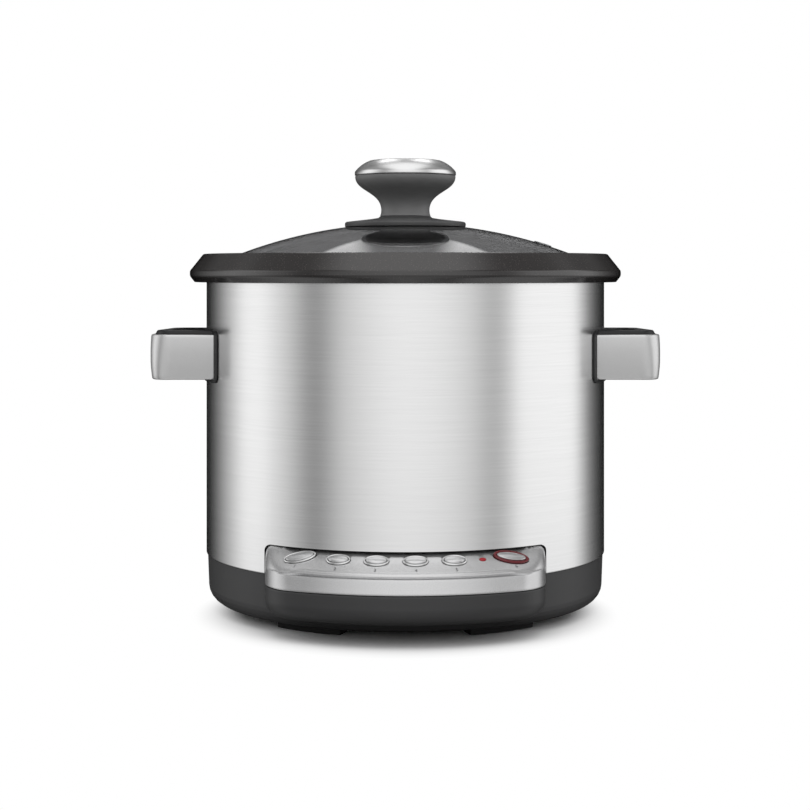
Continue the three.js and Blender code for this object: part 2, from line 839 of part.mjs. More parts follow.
function makeBand() {
  const lipInsideRadius = glassRadius - bandGrip;
  const upper = seatGap;
  const lower = -glassThickness - seatGap;
  const solid = turned(
    [
      [lipInsideRadius, domeHeight(upper, lipInsideRadius)],
      [bandInside, domeHeight(upper, bandInside)],
      [bandInside, domeHeight(lower, bandInside)],
      [lipInsideRadius, domeHeight(lower, lipInsideRadius)],
      [lipInsideRadius, domeHeight(-bandDrop, lipInsideRadius)],
      [bandOutside, domeHeight(-bandDrop, bandOutside)],
      [bandOutside, domeHeight(upper + bandLip, bandOutside)],
      [lipInsideRadius, domeHeight(upper + bandLip, lipInsideRadius)],
    ],
    bodySteps,
  );
  return toMesh("lid_band", solid, blackPlastic);
}

function makeVent() {
  const top = seatGap + ventFlangeThickness;
  const lowerFace = -glassThickness - seatGap - facetGap;
  const bottom = lowerFace - ventFlangeThickness;
  const solid = turned(
    [
      [ventBore, bottom],
      [ventFlangeRadius, bottom],
      [ventFlangeRadius, lowerFace],
      [ventShaftRadius, lowerFace],
      [ventShaftRadius, seatGap],
      [ventFlangeRadius, seatGap],
      [ventFlangeRadius, top],
      [ventBore, top],
    ],
    smallSides,
  );
  const mesh = toMesh("steam_vent", solid, plainSteel);
  mesh.applyMatrix4(ventFrame());
  return mesh;
}

// Heights of the knob's parts above the glass
const flangeEdgeBottom = domeHeight(seatGap, flangeRadius);
const flangeShoulder = flangeEdgeBottom + flangeEdgeHeight;
const flangeTop = flangeShoulder + flangeEdgeRounding / 2 + flangeRise;
const gripBottom = flangeTop + seatGap;
const gripTop = gripBottom + gripHeight;
const capBottom = gripTop + seatGap;
const capTop = capBottom + capHeight;

function makeKnobBase() {
  const solid = turned(
    [
      ...domePoints(seatGap, knobScrewRadius + seatGap, flangeRadius, domeSteps),
      [flangeRadius, flangeShoulder - flangeEdgeRounding / 2],
      [flangeRadius - flangeEdgeRounding, flangeShoulder + flangeEdgeRounding / 2],
      [neckRadius + flangeEdgeRounding * 2, flangeTop - flangeEdgeRounding / 2],
      [neckRadius, flangeTop],
      [knobScrewRadius + seatGap, flangeTop],
    ],
    knobSteps,
  );
  return toMesh("knob_base", solid, darkPlastic);
}

function makeGrip() {
  const neckTop = gripBottom + neckHeight;
  const curveHeight = gripTop - neckTop;
  const curve = new THREE.CubicBezierCurve(
    new THREE.Vector2(neckRadius, neckTop),
    new THREE.Vector2(neckRadius, neckTop + curveHeight * gripNeckPullShare),
    new THREE.Vector2(gripRadius, gripTop - curveHeight * gripRimPullShare),
    new THREE.Vector2(gripRadius, gripTop),
  );
  const pocketRadius = capSpigotRadius + seatGap;
  const pocketBottom = gripTop - capSpigotHeight;
  const bore = knobScrewRadius + seatGap;
  const boreTop = gripBottom + knobScrewReach + seatGap;
  const solid = turned(
    [
      [0, boreTop],
      [bore, boreTop],
      [bore, gripBottom],
      [neckRadius, gripBottom],
      ...curve.getPoints(gripCurveSteps).map((point) => [point.x, point.y]),
      [pocketRadius, gripTop],
      [pocketRadius, pocketBottom],
      [0, pocketBottom],
    ],
    knobSteps,
  );
  return toMesh("knob_grip", solid, darkPlastic);
}

function makeCap() {
  const bandTop = capBottom + capBandHeight;
  const shoulder = new THREE.QuadraticBezierCurve(
    new THREE.Vector2(capEdgeRadius, bandTop),
    new THREE.Vector2((capEdgeRadius + capTopRadius) / 2 + capBulge * 2,
      (bandTop + capTop) / 2 + capBulge),
    new THREE.Vector2(capTopRadius, capTop),
  );
  const solid = turned(
    [
      [0, capBottom - capSpigotHeight + seatGap],
      [capSpigotRadius, capBottom - capSpigotHeight + seatGap],
      [capSpigotRadius, capBottom],
      [gripRadius, capBottom],
      ...shoulder.getPoints(filletSteps).map((point) => [point.x, point.y]),
      [0, capTop],
    ],
    knobSteps,
  );
  return toMesh("knob_cap", solid, polishedSteel);
}

function washerHeights() {
  const top = domeHeight(-glassThickness - seatGap, washerRadius);
  return { top, bottom: top - washerDepth };
}

function makeWasher() {
  const { top, bottom } = washerHeights();
  const bore = knobScrewRadius + seatGap;
  const solid = turned(
    [
      [bore, bottom + washerPocketDepth],
      [washerPocketRadius, bottom + washerPocketDepth],
      [washerPocketRadius, bottom],
      [washerRadius, bottom],
      [washerRadius, top],
      [bore, top],
    ],
    knobSteps,
  );
  return toMesh("knob_washer", solid, blackPlastic);
}

function makeKnobScrew() {
  const headTop = washerHeights().bottom + washerPocketDepth - seatGap;
  const head = cylinder(knobScrewHeadRadius, headTop - knobScrewHeadHeight, headTop, smallSides);
  const shank = cylinder(knobScrewRadius, headTop - knobScrewHeadHeight / 2,
    gripBottom + knobScrewReach, smallSides);
  return toMesh("knob_screw", head.add(shank), plainSteel);
}

function makePlate() {
  const grooveTop = plateUnderside + elementTubeRadius * 2 + seatGap;
  const grooveHalf = elementTubeRadius + seatGap;
  const solid = turned(
    [
      [plateHoleRadius, plateUnderside],
      [elementRadius - grooveHalf, plateUnderside],
      [elementRadius - grooveHalf, grooveTop],
      [elementRadius + grooveHalf, grooveTop],
      [elementRadius + grooveHalf, plateUnderside],
      [plateRadius, plateUnderside],
      [plateRadius, plateTop],
      [plateHoleRadius, plateTop],
    ],
    bodySteps,
  );
  return toMesh("heating_plate", solid, aluminium);
}

// The element's ring, open at the rear by the gap angle
class ElementCurve extends THREE.Curve {
  getPoint(share, target = new THREE.Vector3()) {
    const open = elementGapAngle * degree;
    const angle = quarterTurn + open / 2 + share * (fullTurn - open);
    const height = plateUnderside + elementTubeRadius;
    return target.set(elementRadius * Math.cos(angle), elementRadius * Math.sin(angle), height);
  }
}

function terminalPlaces() {
  return [0, 1].map((share) => {
    const point = new ElementCurve().getPoint(share);
    return [point.x, point.y];
  });
}

function terminalBottom() {
  return plateUnderside + elementTubeRadius - terminalLength;
}

function makeElement() {
  const steps = bodySteps - Math.round((elementGapAngle / 360) * bodySteps);
  let solid = tube(new ElementCurve(), elementTubeRadius, smallSides, steps);
  for (const [x, y] of terminalPlaces()) {
    const pin = cylinder(terminalRadius, terminalBottom(), plateUnderside + elementTubeRadius,
      smallSides);
    solid = solid.add(moved(pin, x, y, 0));
  }
  return toMesh("heating_element", solid, plainSteel);
}

function makeStandoffs() {
  return Array.from({ length: standoffCount }, (_, i) => {
    const angle = coverScrewAngle * degree + (i / standoffCount) * fullTurn;
    const post = cylinder(standoffRadius, linerFloorTop + seatGap, plateUnderside - seatGap,
      standoffSides);
    const solid = moved(post, standoffPlace * Math.cos(angle), standoffPlace * Math.sin(angle), 0);
    return toMesh(`plate_standoff_${i + 1}`, solid, plainSteel);
  });
}

const guideFloorTop = linerFloorTop + seatGap + guideFlangeThickness;

function makeGuide() {
  const inside = sensorRadius + guideClearance;
  const outside = inside + guideWall;
  const bottom = linerFloorTop + seatGap;
  const solid = turned(
    [
      [guideLeadHole, bottom],
      [guideFlangeRadius, bottom],
      [guideFlangeRadius, guideFloorTop],
      [outside, guideFloorTop],
      [outside, plateTop - guideDrop],
      [inside, plateTop - guideDrop],
      [inside, guideFloorTop],
      [guideLeadHole, guideFloorTop],
    ],
    knobSteps,
  );
  return toMesh("sensor_guide", solid, ivory);
}

function makeSensorCap() {
  const inside = sensorRadius - sensorWall;
  const bottom = plateTop - sensorHeight;
  const solid = turned(
    [
      [0, plateTop - sensorCrown],
      [inside, plateTop - sensorCrown],
      [inside, bottom],
      [sensorRadius, bottom],
      [sensorRadius, plateTop],
      [0, plateTop],
    ],
    knobSteps,
  );
  return toMesh("sensor_cap", solid, aluminium);
}

// One unbroken coil, from the guide's floor to the underside of the sensor cap
class SpringCurve extends THREE.Curve {
  getPoint(share, target = new THREE.Vector3()) {
    const bottom = guideFloorTop + seatGap + springWire;
    const top = plateTop - sensorCrown - seatGap - springWire;
    const angle = share * springTurns * fullTurn;
    const height = bottom + (top - bottom) * share;
    return target.set(springRadius * Math.cos(angle), springRadius * Math.sin(angle), height);
  }
}

function makeSpring() {
  const steps = springTurns * springStepsPerTurn;
  return toMesh("sensor_spring", tube(new SpringCurve(), springWire, 5, steps), plainSteel);
}

function makeFuse() {
  const saddleTop = plateUnderside - seatGap;
  const saddleBottom = saddleTop - fuseSaddleThickness;
  const axisHeight = saddleBottom - fuseRadius / 2;
  const saddle = block([-fuseSaddleWidth / 2, fuseSaddleWidth / 2],
    [-fuseSaddleLength / 2, fuseSaddleLength / 2], [saddleBottom, saddleTop]);
  const lying = cylinder(fuseRadius, -fuseLength / 2, fuseLength / 2, smallSides);
  const turn = new THREE.Matrix4().makeRotationX(quarterTurn);
  const capsule = moved(placed(lying, turn), 0, 0, axisHeight);
  return toMesh("thermal_fuse", moved(saddle.add(capsule), fusePlace, 0, 0), ivory);
}

function makePanel() {
  const bandTop = panelBottom + panelBandHeight;
  const grooveTop = bandTop + panelGrooveHeight;
  const above = panelTop + cutRun;
  const band = prism(panelShape(0), panelBottom, bandTop, panelArcSteps);
  const groove = prism(panelShape(panelEdgeInset + panelGrooveDepth), panelBottom,
    grooveTop + panelGrooveHeight, panelArcSteps);
  const face = prism(panelShape(panelEdgeInset), grooveTop, above, panelArcSteps);
  const inside = prism(panelShape(panelEdgeInset + panelWall), panelBottom - cutRun, above,
    panelArcSteps);
  let solid = band.add(groove).add(face).intersect(underSlope(0)).intersect(panelWindow(0));
  solid = solid.subtract(inside.intersect(underSlope(panelWall)));
  solid = solid.subtract(cylinder(shellInside - panelShelf, 0, above, bodySteps));
  const stripTop = -stripDepth + seatGap;
  for (const angle of stripPostAngles) {
    const post = cylinder(stripPostRadius, stripTop, -panelWall / 2, smallSides);
    solid = solid.add(placed(post, slopeFrame(angle, 0)));
  }
  buttonAngles.forEach((angle, i) => {
    const [halfLength, halfHeight] = buttonSizes(i);
    const barrel = bezelBarrelInset - seatGap;
    const hole = oval(halfLength - barrel, halfHeight - barrel, -panelWall - cutRun, cutRun);
    solid = solid.subtract(placed(hole, slopeFrame(angle, buttonTurns[i])));
  });
  const lampHole = oval(lampHalfLength + seatGap, lampHalfHeight + seatGap,
    -panelWall - cutRun, cutRun);
  solid = solid.subtract(placed(lampHole, slopeFrame(lampAngle, 0)));
  return toMesh("control_panel", solid, silverPlastic);
}

function makeBezels() {
  return buttonAngles.map((angle, i) => {
    const [halfLength, halfHeight, width] = buttonSizes(i);
    const isStart = i === buttonAngles.length - 1;
    const lip = oval(halfLength, halfHeight, seatGap, seatGap + bezelLip);
    const barrel = oval(halfLength - bezelBarrelInset, halfHeight - bezelBarrelInset,
      -panelWall, seatGap + bezelLip / 2);
    const bore = oval(halfLength - width, halfHeight - width, -panelWall - cutRun, cutRun);
    const name = isStart ? "start_ring" : `${buttonNames[i]}_bezel`;
    const mesh = toMesh(name, lip.add(barrel).subtract(bore),
      isStart ? redPlastic : polishedSteel);
    mesh.applyMatrix4(slopeFrame(angle, buttonTurns[i]));
    return mesh;
  });
}

function makeButtons() {
  return buttonAngles.map((angle, i) => {
    const [halfLength, halfHeight, width] = buttonSizes(i);
    const margin = width + slideGap;
    const top = seatGap + bezelLip + buttonProud;
    const flangeTopDepth = -panelWall - seatGap;
    const flangeBottomDepth = flangeTopDepth - buttonFlangeThickness;
    const stemBottom = -stripDepth + buttonTravel + seatGap;
    const cap = oval(halfLength - margin, halfHeight - margin, flangeBottomDepth, top);
    const flange = oval(halfLength - margin + buttonFlangeExtra,
      halfHeight - margin + buttonFlangeExtra, flangeBottomDepth, flangeTopDepth);
    const stem = cylinder(buttonStemRadius, stemBottom, flangeTopDepth, smallSides);
    const mesh = toMesh(`${buttonNames[i]}_button`, united([cap, flange, stem]), silverPlastic);
    mesh.applyMatrix4(slopeFrame(angle, buttonTurns[i]));
    return mesh;
  });
}

function makeLamp() {
  const lens = oval(lampHalfLength, lampHalfHeight, -stripDepth + seatGap, lampProud);
  const mesh = toMesh("warm_lamp", lens, redLamp);
  mesh.applyMatrix4(slopeFrame(lampAngle, 0));
  return mesh;
}

// The circuit strip lies parallel to the sloping face, below the stems.
function makeStrip() {
  const middleRadius = panelEdgeRadius - slopeRun * buttonUpShare;
  const middleHeight = panelEdge + slopeDrop * buttonUpShare;
  const corner = (along, depth) => [
    middleRadius - along * Math.cos(slopeAngle) - depth * Math.sin(slopeAngle),
    middleHeight + along * Math.sin(slopeAngle) - depth * Math.cos(slopeAngle),
  ];
  const bottomDepth = stripDepth + stripThickness;
  const cone = turned(
    [
      corner(-stripHalfHeight, bottomDepth),
      corner(-stripHalfHeight, stripDepth),
      corner(stripHalfHeight, stripDepth),
      corner(stripHalfHeight, bottomDepth),
    ],
    panelSteps,
  );
  const front = block([-stripHalfWidth, stripHalfWidth],
    [-panelFrontRadius, -panelFrontRadius / 2], [0, panelTop]);
  return toMesh("circuit_strip", cone.intersect(front), circuitGreen);
}

function boardPosts() {
  const rows = [boardFront + boardPostInset, boardRear - boardPostRearInset];
  return rows.flatMap((y) => [[-boardPostX, y], [boardPostX, y]]);
}

function plugBlockMiddle() {
  return boardFront + plugBlockSize[1];
}

function makePowerBoard() {
  const board = block([-boardHalfWidth, boardHalfWidth], [boardFront, boardRear],
    [boardBottom, boardTop]);
  const boxes = [
    [relaySize, relayPlace],
    [transformerSize, transformerPlace],
    [plugBlockSize, [0, plugBlockMiddle() - boardFront]],
  ].map(([[width, depth, height], [x, place]]) => {
    const y = boardFront + place;
    return block([x - width / 2, x + width / 2], [y - depth / 2, y + depth / 2],
      [boardTop - boardThickness / 2, boardTop + height]);
  });
  const can = cylinder(capacitorRadius, boardTop - boardThickness / 2,
    boardTop + capacitorHeight, smallSides);
  const [canX, canPlace] = capacitorPlace;
  const solid = united([board, ...boxes, moved(can, canX, boardFront + canPlace, 0)]);
  return toMesh("power_board", solid, circuitGreen);
}

// From the plug block on the power board, forward and up to the back of the strip
function makePanelLead() {
  const angle = panelLeadAngle * degree;
  const depth = stripDepth + stripThickness + seatGap;
  const radius = panelEdgeRadius - slopeRun * buttonUpShare - depth * Math.sin(slopeAngle);
  const height = panelEdge + slopeDrop * buttonUpShare - depth * Math.cos(slopeAngle);
  const end = new THREE.Vector3(radius * Math.sin(angle), -radius * Math.cos(angle), height);
  const leave = new THREE.Vector3(-Math.sin(slopeAngle) * Math.sin(angle),
    Math.sin(slopeAngle) * Math.cos(angle), -Math.cos(slopeAngle));
  const startY = plugBlockMiddle() - plugBlockSize[1] / 2 - seatGap;
  const lowHeight = boardTop + plugBlockSize[2] / 2;
  const start = new THREE.Vector3(0, startY, lowHeight);
  const straight = panelLeadRadius * 4;
  const wallPass = lipInside - panelLeadRadius * 3;
  const curve = new THREE.CatmullRomCurve3([
    start,
    start.clone().setY(startY - straight),
    new THREE.Vector3(end.x / 2, (startY + end.y) / 2, lowHeight),
    new THREE.Vector3(wallPass * Math.sin(angle), -wallPass * Math.cos(angle), panelBottom),
    end.clone().addScaledVector(leave, straight / 2),
    end,
  ]);
  const solid = tube(curve, panelLeadRadius, wireSides, leadSteps);
  return toMesh("panel_lead", solid, blackPlastic);
}

function makeHeaterLeads() {
  const bottom = boardTop + seatGap;
  const top = terminalBottom() - seatGap;
  const span = top - bottom;
  return terminalPlaces().map(([x, y], i) => {
    const bow = -Math.sign(x) * heaterLeadBow;
    const curve = new THREE.CatmullRomCurve3([
      new THREE.Vector3(x, y, bottom),
      new THREE.Vector3(x, y, bottom + span / 6),
      new THREE.Vector3(x + bow, y, bottom + span / 2),
      new THREE.Vector3(x, y, top - span / 6),
      new THREE.Vector3(x, y, top),
    ]);
    const solid = tube(curve, heaterLeadRadius, wireSides, leadSteps);
    return toMesh(`heater_lead_${i + 1}`, solid, redPlastic);
  });
}

function makeInlet() {
  const { middle, face } = inletFrame();
  const rear = face + seatGap;
  const outX = inletHalfWidth + inletFlange;
  const outZ = inletHalfHeight + inletFlange - seatGap;
  const flange = block([-outX, outX], [rear, rear + inletFlangeThickness],
    [middle - outZ, middle + outZ]);
  const body = block([-inletHalfWidth, inletHalfWidth], [rear - inletDepth, rear + seatGap],
    [middle - inletHalfHeight, middle + inletHalfHeight]);
  const holeX = inletHalfWidth - inletWall;
  const holeZ = inletHalfHeight - inletWall;
  const cavityEnd = rear + inletFlangeThickness - inletCavityDepth;
  const cavity = block([-holeX, holeX], [cavityEnd, rear + cutRun],
    [middle - holeZ, middle + holeZ]);
  let solid = flange.add(body).subtract(cavity);
  for (const column of [-1, 0, 1]) {
    const x = column * pinSpacing;
    const pin = block([x - pinHalfWidth, x + pinHalfWidth],
      [cavityEnd - inletWall, cavityEnd + pinLength],
      [middle - pinHalfHeight, middle + pinHalfHeight]);
    solid = solid.add(pin);
  }
  return toMesh("inlet_socket", solid, blackPlastic);
}

// Handles. The right one is built here, and the left one is the same turned half round.
function turnedAround() {
  return new THREE.Matrix4().makeRotationZ(halfTurn);
}

function handlePlan(inset, bottom, top) {
  const half = handleHalfDepth - inset;
  const shape = roundedRectangle(0, handleReach - inset, -half, half, handleCorner - inset);
  return prism(shape, bottom, top, filletSteps + 1);
}

// The side view's crowned outer end, as a solid that reaches over the whole depth
function handleCrownSolid(inset, run) {
  const half = handleHeight / 2;
  const bulge = (half ** 2 + handleCrown ** 2) / (handleCrown * 2);
  const centre = handleReach - inset - bulge;
  const side = Math.asin(half / bulge);
  const shape = new THREE.Shape();
  shape.moveTo(0, half + run);
  shape.lineTo(0, -half - run);
  if (run > 0) shape.lineTo(handleReach - inset - handleCrown, -half - run);
  shape.absarc(centre, 0, bulge, -side, side);
  if (run > 0) shape.lineTo(handleReach - inset - handleCrown, half + run);
  shape.closePath();
  const deep = handleHalfDepth + cutRun;
  const solid = prism(shape, -deep, deep, handleCrownSteps);
  const upright = new THREE.Matrix4().makeRotationX(quarterTurn);
  return moved(placed(solid, upright), 0, 0, handleMiddle);
}

function handleScrewPlaces() {
  const y = handleHalfDepth - strapThickness / 2 - gripThickness / 2;
  return [-y, y];
}

function handleScrewHole(y, radius) {
  const hole = cylinder(radius, 0, handleReach, smallSides);
  const lying = new THREE.Matrix4().makeRotationY(quarterTurn);
  return moved(placed(hole, lying), 0, y, handleMiddle);
}

function handleEnds() {
  const half = handleHeight / 2;
  return [handleMiddle - half, handleMiddle + half];
}

function behindCollar(gap) {
  return cylinder(collarOutside + gap, 0, shellTop, bodySteps);
}

function makeStrap(side) {
  const [bottom, top] = handleEnds();
  const outer = handlePlan(0, bottom, top).intersect(handleCrownSolid(0, 0));
  const inner = handlePlan(strapThickness, bottom - cutRun, top + cutRun)
    .intersect(handleCrownSolid(strapThickness, cutRun * 2));
  const solid = outer.subtract(inner).subtract(behindCollar(seatGap));
  return toMesh(`handle_strap_${side}`, solid, silverPlastic);
}

function makeCore(side) {
  const [bottom, top] = handleEnds();
  const inset = strapThickness + seatGap;
  const gripHalf = handleHalfDepth - gripThickness;
  const gap = prism(
    roundedRectangle(0, handleReach - gripThickness, -gripHalf, gripHalf, gripCorner),
    bottom - cutRun, top + cutRun, filletSteps);
  let solid = handlePlan(inset, bottom, top).intersect(handleCrownSolid(inset, cutRun));
  solid = solid.subtract(gap).subtract(behindCollar(seatGap));
  const stop = collarOutside + handleScrewReach + seatGap;
  for (const y of handleScrewPlaces()) {
    const hole = handleScrewHole(y, handleScrewRadius + seatGap);
    solid = solid.subtract(hole.intersect(cylinder(stop, 0, shellTop, bodySteps)));
  }
  return toMesh(`handle_core_${side}`, solid, blackPlastic);
}

function makeCollar(side) {
  const [bottom, top] = handleEnds();
  const half = handleHalfDepth + collarMargin;
  const ring = turned(
    [
      [collarInside, 0],
      [collarOutside, 0],
      [collarOutside, shellTop],
      [collarInside, shellTop],
    ],
    bodySteps,
  );
  const shape = roundedRectangle(bottom - collarHeightMargin, top + collarHeightMargin,
    -half, half, collarCorner);
  const upright = new THREE.Matrix4().makeRotationY(-quarterTurn);
  const window = placed(prism(shape, -handleReach, 0, filletSteps), upright);
  let solid = ring.intersect(window);
  for (const y of handleScrewPlaces()) {
    solid = solid.subtract(handleScrewHole(y, handleScrewRadius + seatGap));
  }
  return toMesh(`handle_collar_${side}`, solid, blackPlastic);
}

function makeHandleScrews(side) {
  return handleScrewPlaces().map((y, i) => {
    const headEdge = Math.abs(y) + handleScrewHeadRadius;
    const headFace = shellInside * Math.cos(halfTurn / bodySteps) - seatGap;
    const headX = Math.sqrt(headFace ** 2 - headEdge ** 2);
    const tip = Math.sqrt((collarOutside + handleScrewReach) ** 2 - headEdge ** 2);
    const head = cylinder(handleScrewHeadRadius, headX - handleScrewHeadHeight, headX, smallSides);
    const shank = cylinder(handleScrewRadius, headX - handleScrewHeadHeight / 2, tip, smallSides);
    const lying = new THREE.Matrix4().makeRotationY(quarterTurn);
    const solid = moved(placed(head.add(shank), lying), 0, y, handleMiddle);
    return toMesh(`handle_screw_${side}_${i + 1}`, solid, plainSteel);
  });
}

function makeHandle(side) {
  const handle = new THREE.Group();
  handle.add(makeCollar(side), makeCore(side), makeStrap(side), ...makeHandleScrews(side));
  return handle;
}

function makeLid() {
  const lid = new THREE.Group();
  lid.add(makeGlass(), makeBand(), makeVent(), makeWasher(), makeKnobScrew());
  lid.add(makeKnobBase(), makeGrip(), makeCap());
  return lid;
}

function makeHeater() {
  const heater = new THREE.Group();
  heater.add(makePlate(), makeElement(), ...makeStandoffs(), makeFuse());
  heater.add(makeGuide(), makeSpring(), makeSensorCap());
  return heater;
}

function makeFront() {
  const front = new THREE.Group();
  front.add(makePanel(), ...makeBezels(), ...makeButtons(), makeLamp(), makeStrip());
  return front;
}

function makeCooker() {
  const left = makeHandle("left");
  left.rotation.z = halfTurn;
  const cooker = new THREE.Group();
  cooker.position.y = bodyShift;
  cooker.add(makeBase(), makeBottomCover(), ...makeCoverScrews(), ...makeFeet());
  cooker.add(makeShell(), makeLiner(), makeTopRing(), makeBowl(), makeInlet());
  cooker.add(makePowerBoard(), makePanelLead(), ...makeHeaterLeads());
  cooker.add(makeHeater(), makeFront(), makeLid(), makeHandle("right"), left);
  return cooker;
}

const multicooker = new THREE.Group();
multicooker.add(makeCooker());

export default multicooker;
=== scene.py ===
"""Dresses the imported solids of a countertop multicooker: smooth, detailed pieces and
procedural finishes around the fixed frame, on a plain pale floor in soft studio light.
Sizes in the tables are millimetres, from the body's upright axis and the floor.
"""

import math

import bmesh
import bpy
from mathutils import Matrix, Vector


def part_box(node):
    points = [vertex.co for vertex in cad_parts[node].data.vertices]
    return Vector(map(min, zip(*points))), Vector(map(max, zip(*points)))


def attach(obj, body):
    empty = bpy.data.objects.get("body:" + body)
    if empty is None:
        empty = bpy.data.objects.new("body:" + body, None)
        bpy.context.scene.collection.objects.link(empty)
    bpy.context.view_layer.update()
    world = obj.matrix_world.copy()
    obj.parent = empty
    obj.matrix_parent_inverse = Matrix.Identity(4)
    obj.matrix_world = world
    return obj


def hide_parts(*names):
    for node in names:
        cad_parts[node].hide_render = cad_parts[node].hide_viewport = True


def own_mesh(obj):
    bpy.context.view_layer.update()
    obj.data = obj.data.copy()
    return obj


bl_info = {
    "name": "Multicooker Look",
    "version": (1, 0, 0),
    "blender": (4, 5, 0),
    "location": "3D View > Sidebar > Multicooker",
    "description": "Builds the finished look of a countertop multicooker",
    "category": "Object",
}

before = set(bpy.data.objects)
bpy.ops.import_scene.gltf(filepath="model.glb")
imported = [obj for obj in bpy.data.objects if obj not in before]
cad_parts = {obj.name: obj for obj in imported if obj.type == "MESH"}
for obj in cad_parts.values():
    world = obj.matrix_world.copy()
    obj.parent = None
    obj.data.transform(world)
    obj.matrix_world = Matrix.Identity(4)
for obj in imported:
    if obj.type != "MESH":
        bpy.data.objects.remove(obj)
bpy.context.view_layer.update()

MM = 0.001
TINY = 1e-6
ROUND = 224  # steps round the body
KNOB_ROUND = 112
GAP = 0.3  # between two parts that meet


def node_box(name):
    """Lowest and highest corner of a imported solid, in millimetres."""
    low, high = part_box(name)
    return low / MM, high / MM


SHELL_LOW, SHELL_HIGH = node_box("outer_shell")
PANEL_LOW, PANEL_HIGH = node_box("control_panel")
BOWL_LOW, BOWL_HIGH = node_box("cooking_bowl")
AXIS_Y = (BOWL_LOW.y + BOWL_HIGH.y) / 2

SHELL_WALL = 1.0
SEAM = SHELL_LOW.z - GAP  # the base's edge under the steel
LEDGE = BOWL_HIGH.z - 11.0  # step inside the bowl's rim, which carries the lid
GLASS_EDGE = 128.0


# ---------------------------------------------------------------- sizes and colours


def length(name, text, millimetres):
    return bpy.props.FloatProperty(
        name=name, description=text, default=millimetres * MM, unit="LENGTH"
    )


def number(name, text, value):
    return bpy.props.FloatProperty(name=name, description=text, default=value)


def colour(name, text, value):
    return bpy.props.FloatVectorProperty(
        name=name, description=text, default=value, subtype="COLOR", size=3, min=0, max=1
    )


class CookerColours(bpy.types.PropertyGroup):
    """Colours of the finishes."""

    steel: colour("Brushed steel", "Outer shell", (0.90, 0.90, 0.90))
    polished: colour("Polished steel", "Knob cap and button rings", (0.93, 0.93, 0.93))
    plain_steel: colour("Plain steel", "Screws and inner steel", (0.60, 0.61, 0.62))
    aluminium: colour("Aluminium", "Liner, heating plate, sensor", (0.72, 0.72, 0.73))
    silver: colour("Silver paint", "Front panel and buttons", (0.78, 0.78, 0.785))
    strap: colour("Handle strap", "Silver strap of the handles", (0.84, 0.84, 0.84))
    dark: colour("Dark plastic", "Base", (0.048, 0.048, 0.049))
    # Lighter copy of the knob's one plastic, for the grip: painted light on its waist, which
    # faces down into shade.
    knob: colour("Knob plastic", "Grip of the knob", (0.22, 0.22, 0.221))
    # Darker copy of the knob's one plastic, for the flange: painted shade against the light on
    # its upward-facing top.
    flange: colour("Flange plastic", "Flange of the knob", (0.075, 0.075, 0.076))
    # The same black also fills the gap round the panel as painted shade.
    black: colour("Black plastic", "Handle cores, collars, trim", (0.012, 0.012, 0.013))
    coating: colour("Bowl coating", "Dark brown non-stick coat", (0.010, 0.0075, 0.007))
    speck: colour("Coating specks", "Lighter specks in the coat", (0.06, 0.05, 0.046))
    rubber: colour("Rubber", "Feet", (0.012, 0.012, 0.012))
    glass: colour("Glass", "Smoky lid glass", (0.30, 0.30, 0.305))
    red: colour("Dark red", "Ring of the start button", (0.14, 0.004, 0.009))
    lamp: colour("Lamp red", "Keep-warm lamp", (0.36, 0.005, 0.014))
    circuit: colour("Circuit green", "Circuit boards", (0.03, 0.12, 0.05))
    track: colour("Track green", "Tracks of the circuit boards", (0.10, 0.24, 0.08))
    ceramic: colour("Ceramic", "Sensor guide and fuse", (0.68, 0.63, 0.54))
    lead: colour("Lead red", "Heater leads", (0.35, 0.02, 0.02))
    marking: colour("Marking", "Numbers under the buttons", (0.05, 0.05, 0.055))


class CookerBody(bpy.types.PropertyGroup):
    """Sizes of the shell, base, bowl and glass."""

    window_gap: length("Window gap", "Shell's window beyond the panel's node", 0.3)
    shell_edge: length("Shell edge", "Rounding of the shell's lower edge", 0.5)
    base_taper: length("Base taper", "How far the base leans in", 1.2)
    base_corner: length("Base corner", "Rounding of the base's lower edge", 11.2)
    tray_rounding: length("Tray rounding", "Lower edge of the panel's tray", 11)
    tray_rise: length("Tray rise", "Tray's underside above the base's", 8.5)
    rim_round: length("Rim rounding", "Rounding of the rim's widest edge", 3.6)
    glass_thickness: length("Glass thickness", "Lid glass", 4)
    glass_sphere: length("Glass sphere", "Radius of the lid's dome", 326)
    band_lip: length("Band lip", "Band's lower lip under the glass", 2.1)


class CookerPanel(bpy.types.PropertyGroup):
    """Sizes of the front panel."""

    corner: length("Corner", "Rounding of its corners in plan", 30)
    band_height: length("Band", "Height of the front band", 9.9)
    face_inset: length("Face inset", "Face's edge behind the band", 2.4)
    face_edge: length("Face edge", "Height of the face's front edge", 11.8)
    groove: length("Groove", "Depth of the groove over the band", 2.2)
    slot: length("Slot", "Height of the groove over the band", 1.1)
    bead: length("Bead", "Height of the bead round the face", 0.75)
    side_rounding: length("Side rounding", "Upper rounding at the sides", 4.5)
    wall: length("Wall", "Wall of the moulding", 6.6)
    place_share: number("Button place", "Buttons' share of the way up the slope", 0.62)
    number_share: number("Number place", "Numbers' share of the way up the slope", 0.235)


class CookerHandle(bpy.types.PropertyGroup):
    """Sizes of the side handles."""

    corner: length("Corner", "Rounding in plan", 14)
    strap: length("Strap", "Thickness of the strap", 2)
    grip: length("Grip", "Thickness of the grip", 14)
    crown: length("Crown", "How far the outer end bulges", 0.7)
    edge: length("Edge", "Rounding of the outer end's edges", 0.8)
    dome: length("Dome", "How far the grip's top bulges over the strap", 0.8)
    collar_proud: length("Collar", "How far the collar stands out of the shell", 1.2)
    collar_rounding: length("Collar corner", "Rounding of the collar", 5)


